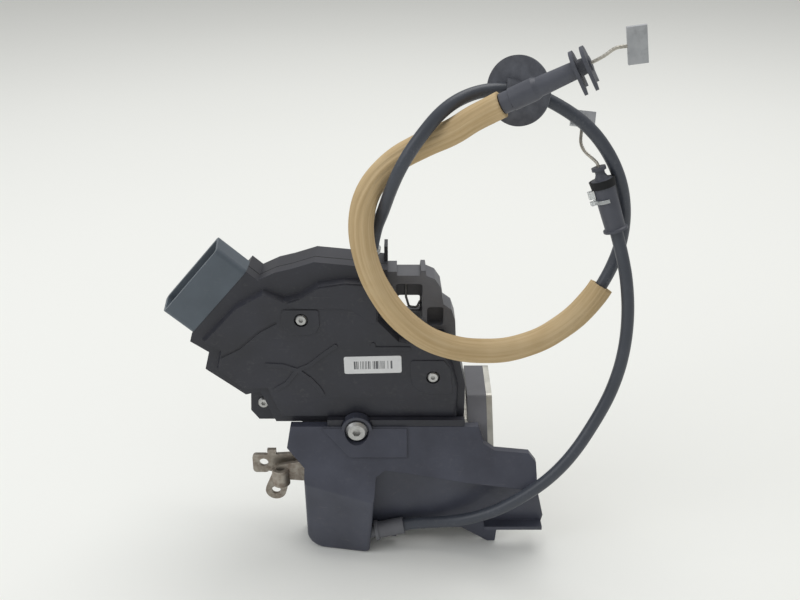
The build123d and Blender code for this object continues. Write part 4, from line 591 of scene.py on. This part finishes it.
plate_steel = metal("plate_steel", "#a3a29c", "#bdbcb5", 0.42, stained=0.25)
lever_steel = metal("lever_steel", "#9a948b", "#bab3a9", 0.5,
                    stain="#6b5443", stained=0.6, lines=0.3)
screw_steel = metal("screw_steel", "#b3b3b2", "#d2d2d0", 0.45, stain=OIL, stained=0.35)
pin_steel = metal("pin_steel", "#8d8d8b", "#adadab", 0.32, stained=0.3)
motor_steel = metal("motor_steel", "#9b9b98", "#bdbdba", 0.35, stained=0.05)
claw_steel = metal("claw_steel", "#77756f", "#98958d", 0.36, stained=0.35)
spring_steel = metal("spring_steel", "#6f6f70", "#8d8d8e", 0.35, stained=0.2)
rope_steel = metal("rope_steel", "#a39f97", "#c4c0b6", 0.4,
                   stain="#77705f", stained=0.35, edge=0.0)
nipple_zinc = metal("nipple_zinc", "#a3a6aa", "#bec0c3", 0.55,
                    stain="#6d6d6b", stained=0.3, lines=0.1)
terminal_brass = metal("terminal_brass", "#b39a58", "#cdb775", 0.28, stained=0.05)
rope_a.data.materials.append(rope_steel)
rope_b.data.materials.append(rope_steel)
print("metals ready, and the ropes dressed")

# %% [markdown]
# ## Label and clear plastic
# The label is a white film with a barcode. The bars are generic: their widths come
# from a noise that changes in steps along the label, cut off above and below. The
# label faces the front, so its directions are the object's own X and Z, turned by
# the small tilt that the label has.

# %% Label and clear plastic
LABEL_CENTRE, LABEL_TILT = (8.5, 101.6), np.radians(1.5)
BARS_REACH, BARS_BOTTOM, BARS_TOP = 9.8, -2.3, 2.1    # from the label's centre, mm
BARS_PER_MM, BAR_CHANCE = 3.4, 0.52


def label_film():
    """White film, faintly mottled, with dark bars of stepped widths."""
    finish = Finish("label_film", IOR=1.5, Coat_Weight=0.2, Coat_Roughness=0.3)
    flat = finish.node("ShaderNodeMapping", {"vector_type": "TEXTURE"}, {
        "Vector": finish.place, "Location": (LABEL_CENTRE[0] * MM, 0.0, LABEL_CENTRE[1] * MM),
        "Rotation": (0.0, -LABEL_TILT, 0.0)})
    x = finish.node("ShaderNodeSeparateXYZ", None, {"Vector": flat}, output=0)
    z = finish.node("ShaderNodeSeparateXYZ", None, {"Vector": flat}, output=2)
    cell = finish.node("ShaderNodeMath", {"operation": "FLOOR"}, {0: x * (BARS_PER_MM / MM)})
    draw = finish.node("ShaderNodeTexWhiteNoise", {"noise_dimensions": "1D"}, {"W": cell})
    across = x.above(-BARS_REACH * MM) * (1.0 - x.above(BARS_REACH * MM))
    bars = draw.above(BAR_CHANCE) * across
    bars = bars * z.above(BARS_BOTTOM * MM) * (1.0 - z.above(BARS_TOP * MM))
    mottle = finish.noise(300.0, 3.0)
    colour = finish.blend(mottle, shade("#d5d6d8"), shade("#e6e7e8"))
    return finish.surface(
        Base_Color=finish.blend(bars * 0.9, colour, shade("#3a3c42")),
        Roughness=0.42 + mottle * 0.15,
        Normal=finish.bumped(mottle, 0.02))


def clear_nylon():
    """Milky nylon: lets most light through and blurs it."""
    finish = Finish("clear_plastic", IOR=1.5, Transmission_Weight=0.6)
    haze = finish.noise(400.0, 3.0)
    return finish.surface(Base_Color=finish.blend(haze, shade("#dfe3e4"), shade("#eef1f1")),
                          Roughness=0.25 + haze * 0.2, Normal=finish.bumped(haze, 0.02, edge=0.1))


label_finish = label_film()
clear_plastic = clear_nylon()
print("label and clear nylon ready")

# %% [markdown]
# ## Dress the solids
# The record names a finish for each solid. The solid's own mesh stays as it is; only
# its material slots change.

# %% Dress the solids
finishes = {
    "casing_plastic": casing_plastic, "cover_plastic": cover_plastic,
    "case_plastic": case_plastic,
    "connector_plastic": connector_plastic, "seal_rubber": seal_rubber,
    "terminal_brass": terminal_brass, "motor_steel": motor_steel, "motor_plastic": motor_plastic,
    "pin_steel": pin_steel, "gear_plastic": gear_plastic, "screw_steel": screw_steel,
    "label_film": label_finish, "plate_steel": plate_steel, "lever_steel": lever_steel,
    "claw_steel": claw_steel, "claw_plastic": claw_plastic, "spring_steel": spring_steel,
    "conduit_plastic": conduit_plastic, "foam": foam_finish, "grommet_rubber": grommet_rubber,
    "ferrule_plastic": ferrule_plastic, "clear_plastic": clear_plastic,
    "rope_steel": rope_steel, "nipple_zinc": nipple_zinc,
}
for row in frame["record"]["subparts"]:
    solid = nodes[row["node"]]
    if not solid.data.materials:
        solid.data.materials.append(None)
    for place in solid.material_slots:
        place.material = finishes[row["material_slot"]]

# %% [markdown]
# ## Table and light
# The latch stands on a wide, flat, matt table. One wide lamp overhead gives the soft
# shadow, a second at the left shapes the connector, and an even pale world fills the
# rest; the pale table throws much of that light back up into the shaded undersides.

# %% Table
def flat_table():
    """A level grid 12 m wide and 15 m deep: x and y evenly spaced, z = 0."""
    x, y = np.meshgrid(np.linspace(-6.0, 6.0, 13), np.linspace(-3.0, 12.0, 16))
    points = np.stack([x, y, np.zeros(x.shape)], -1).reshape(-1, 3)
    rows, columns = x.shape
    r, c = np.meshgrid(np.arange(rows - 1), np.arange(columns - 1), indexing="ij")
    first = (r * columns + c).ravel()
    faces = np.column_stack([first, first + 1, first + columns + 1, first + columns])
    mesh = bpy.data.meshes.new("table")
    mesh.from_pydata(points.tolist(), [], faces.tolist())
    table = bpy.data.objects.new("table", mesh)
    bpy.context.scene.collection.objects.link(table)
    return table


table = flat_table()
table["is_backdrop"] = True
laminate = Finish("table_laminate", IOR=1.4, Specular_IOR_Level=0.2)
veil = laminate.noise(1.2, 2.0)
laminate.surface(Base_Color=laminate.blend(veil, shade("#f0f1ee"), shade("#f4f5f2")),
                 Roughness=0.7 + veil * 0.1,
                 Normal=laminate.bumped(laminate.noise(400.0, 2.0), 0.01))
table.data.materials.append(laminate.material)
print("table faces:", len(table.data.polygons))

# %% Lamps and world
def lamp(name, spot, aim, size, power, colour):
    """A square area lamp at a spot, turned to face a point."""
    light = bpy.data.lights.new(name, "AREA")
    light.shape, light.size, light.energy, light.color = "SQUARE", size, power, colour
    holder = bpy.data.objects.new(name, light)
    holder.location = spot
    way = np.array(aim) - np.array(spot)
    yaw = np.arctan2(way[0], way[1])
    pitch = np.arctan2(np.hypot(way[0], way[1]), -way[2])
    holder.rotation_euler = (pitch, 0.0, -yaw)
    bpy.context.scene.collection.objects.link(holder)


lamp("overhead", (0.25, 0.55, 1.9), (0.02, 0.0, 0.08), 1.4, 19.0, (1.0, 0.995, 0.985))
lamp("left_window", (-1.3, -0.5, 0.9), (0.0, 0.0, 0.1), 0.9, 6.0, (0.95, 0.97, 1.0))
WORLD_STRENGTH = 0.55
world = bpy.data.worlds.new("studio")
bpy.context.scene.world = world
world.use_nodes = True
sky = world.node_tree.nodes["Background"]
sky.inputs["Color"].default_value = shade("#f4f4f2")
sky.inputs["Strength"].default_value = WORLD_STRENGTH
print("two lamps, and a world of strength", WORLD_STRENGTH)

# %% [markdown]
# ## Size of the dressed model
# The dressed model should stay as large as the solids. Its box is measured, and the
# largest difference from the solids' box is printed.

# %% Sizes
bpy.context.view_layer.update()
dressed_box = [[float(v) for v in corner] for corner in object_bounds()]
growth = np.abs(np.array(dressed_box) - np.array(solid_box)).max() / MM
print("largest difference from the solids' box:", round(float(growth), 2), "mm")
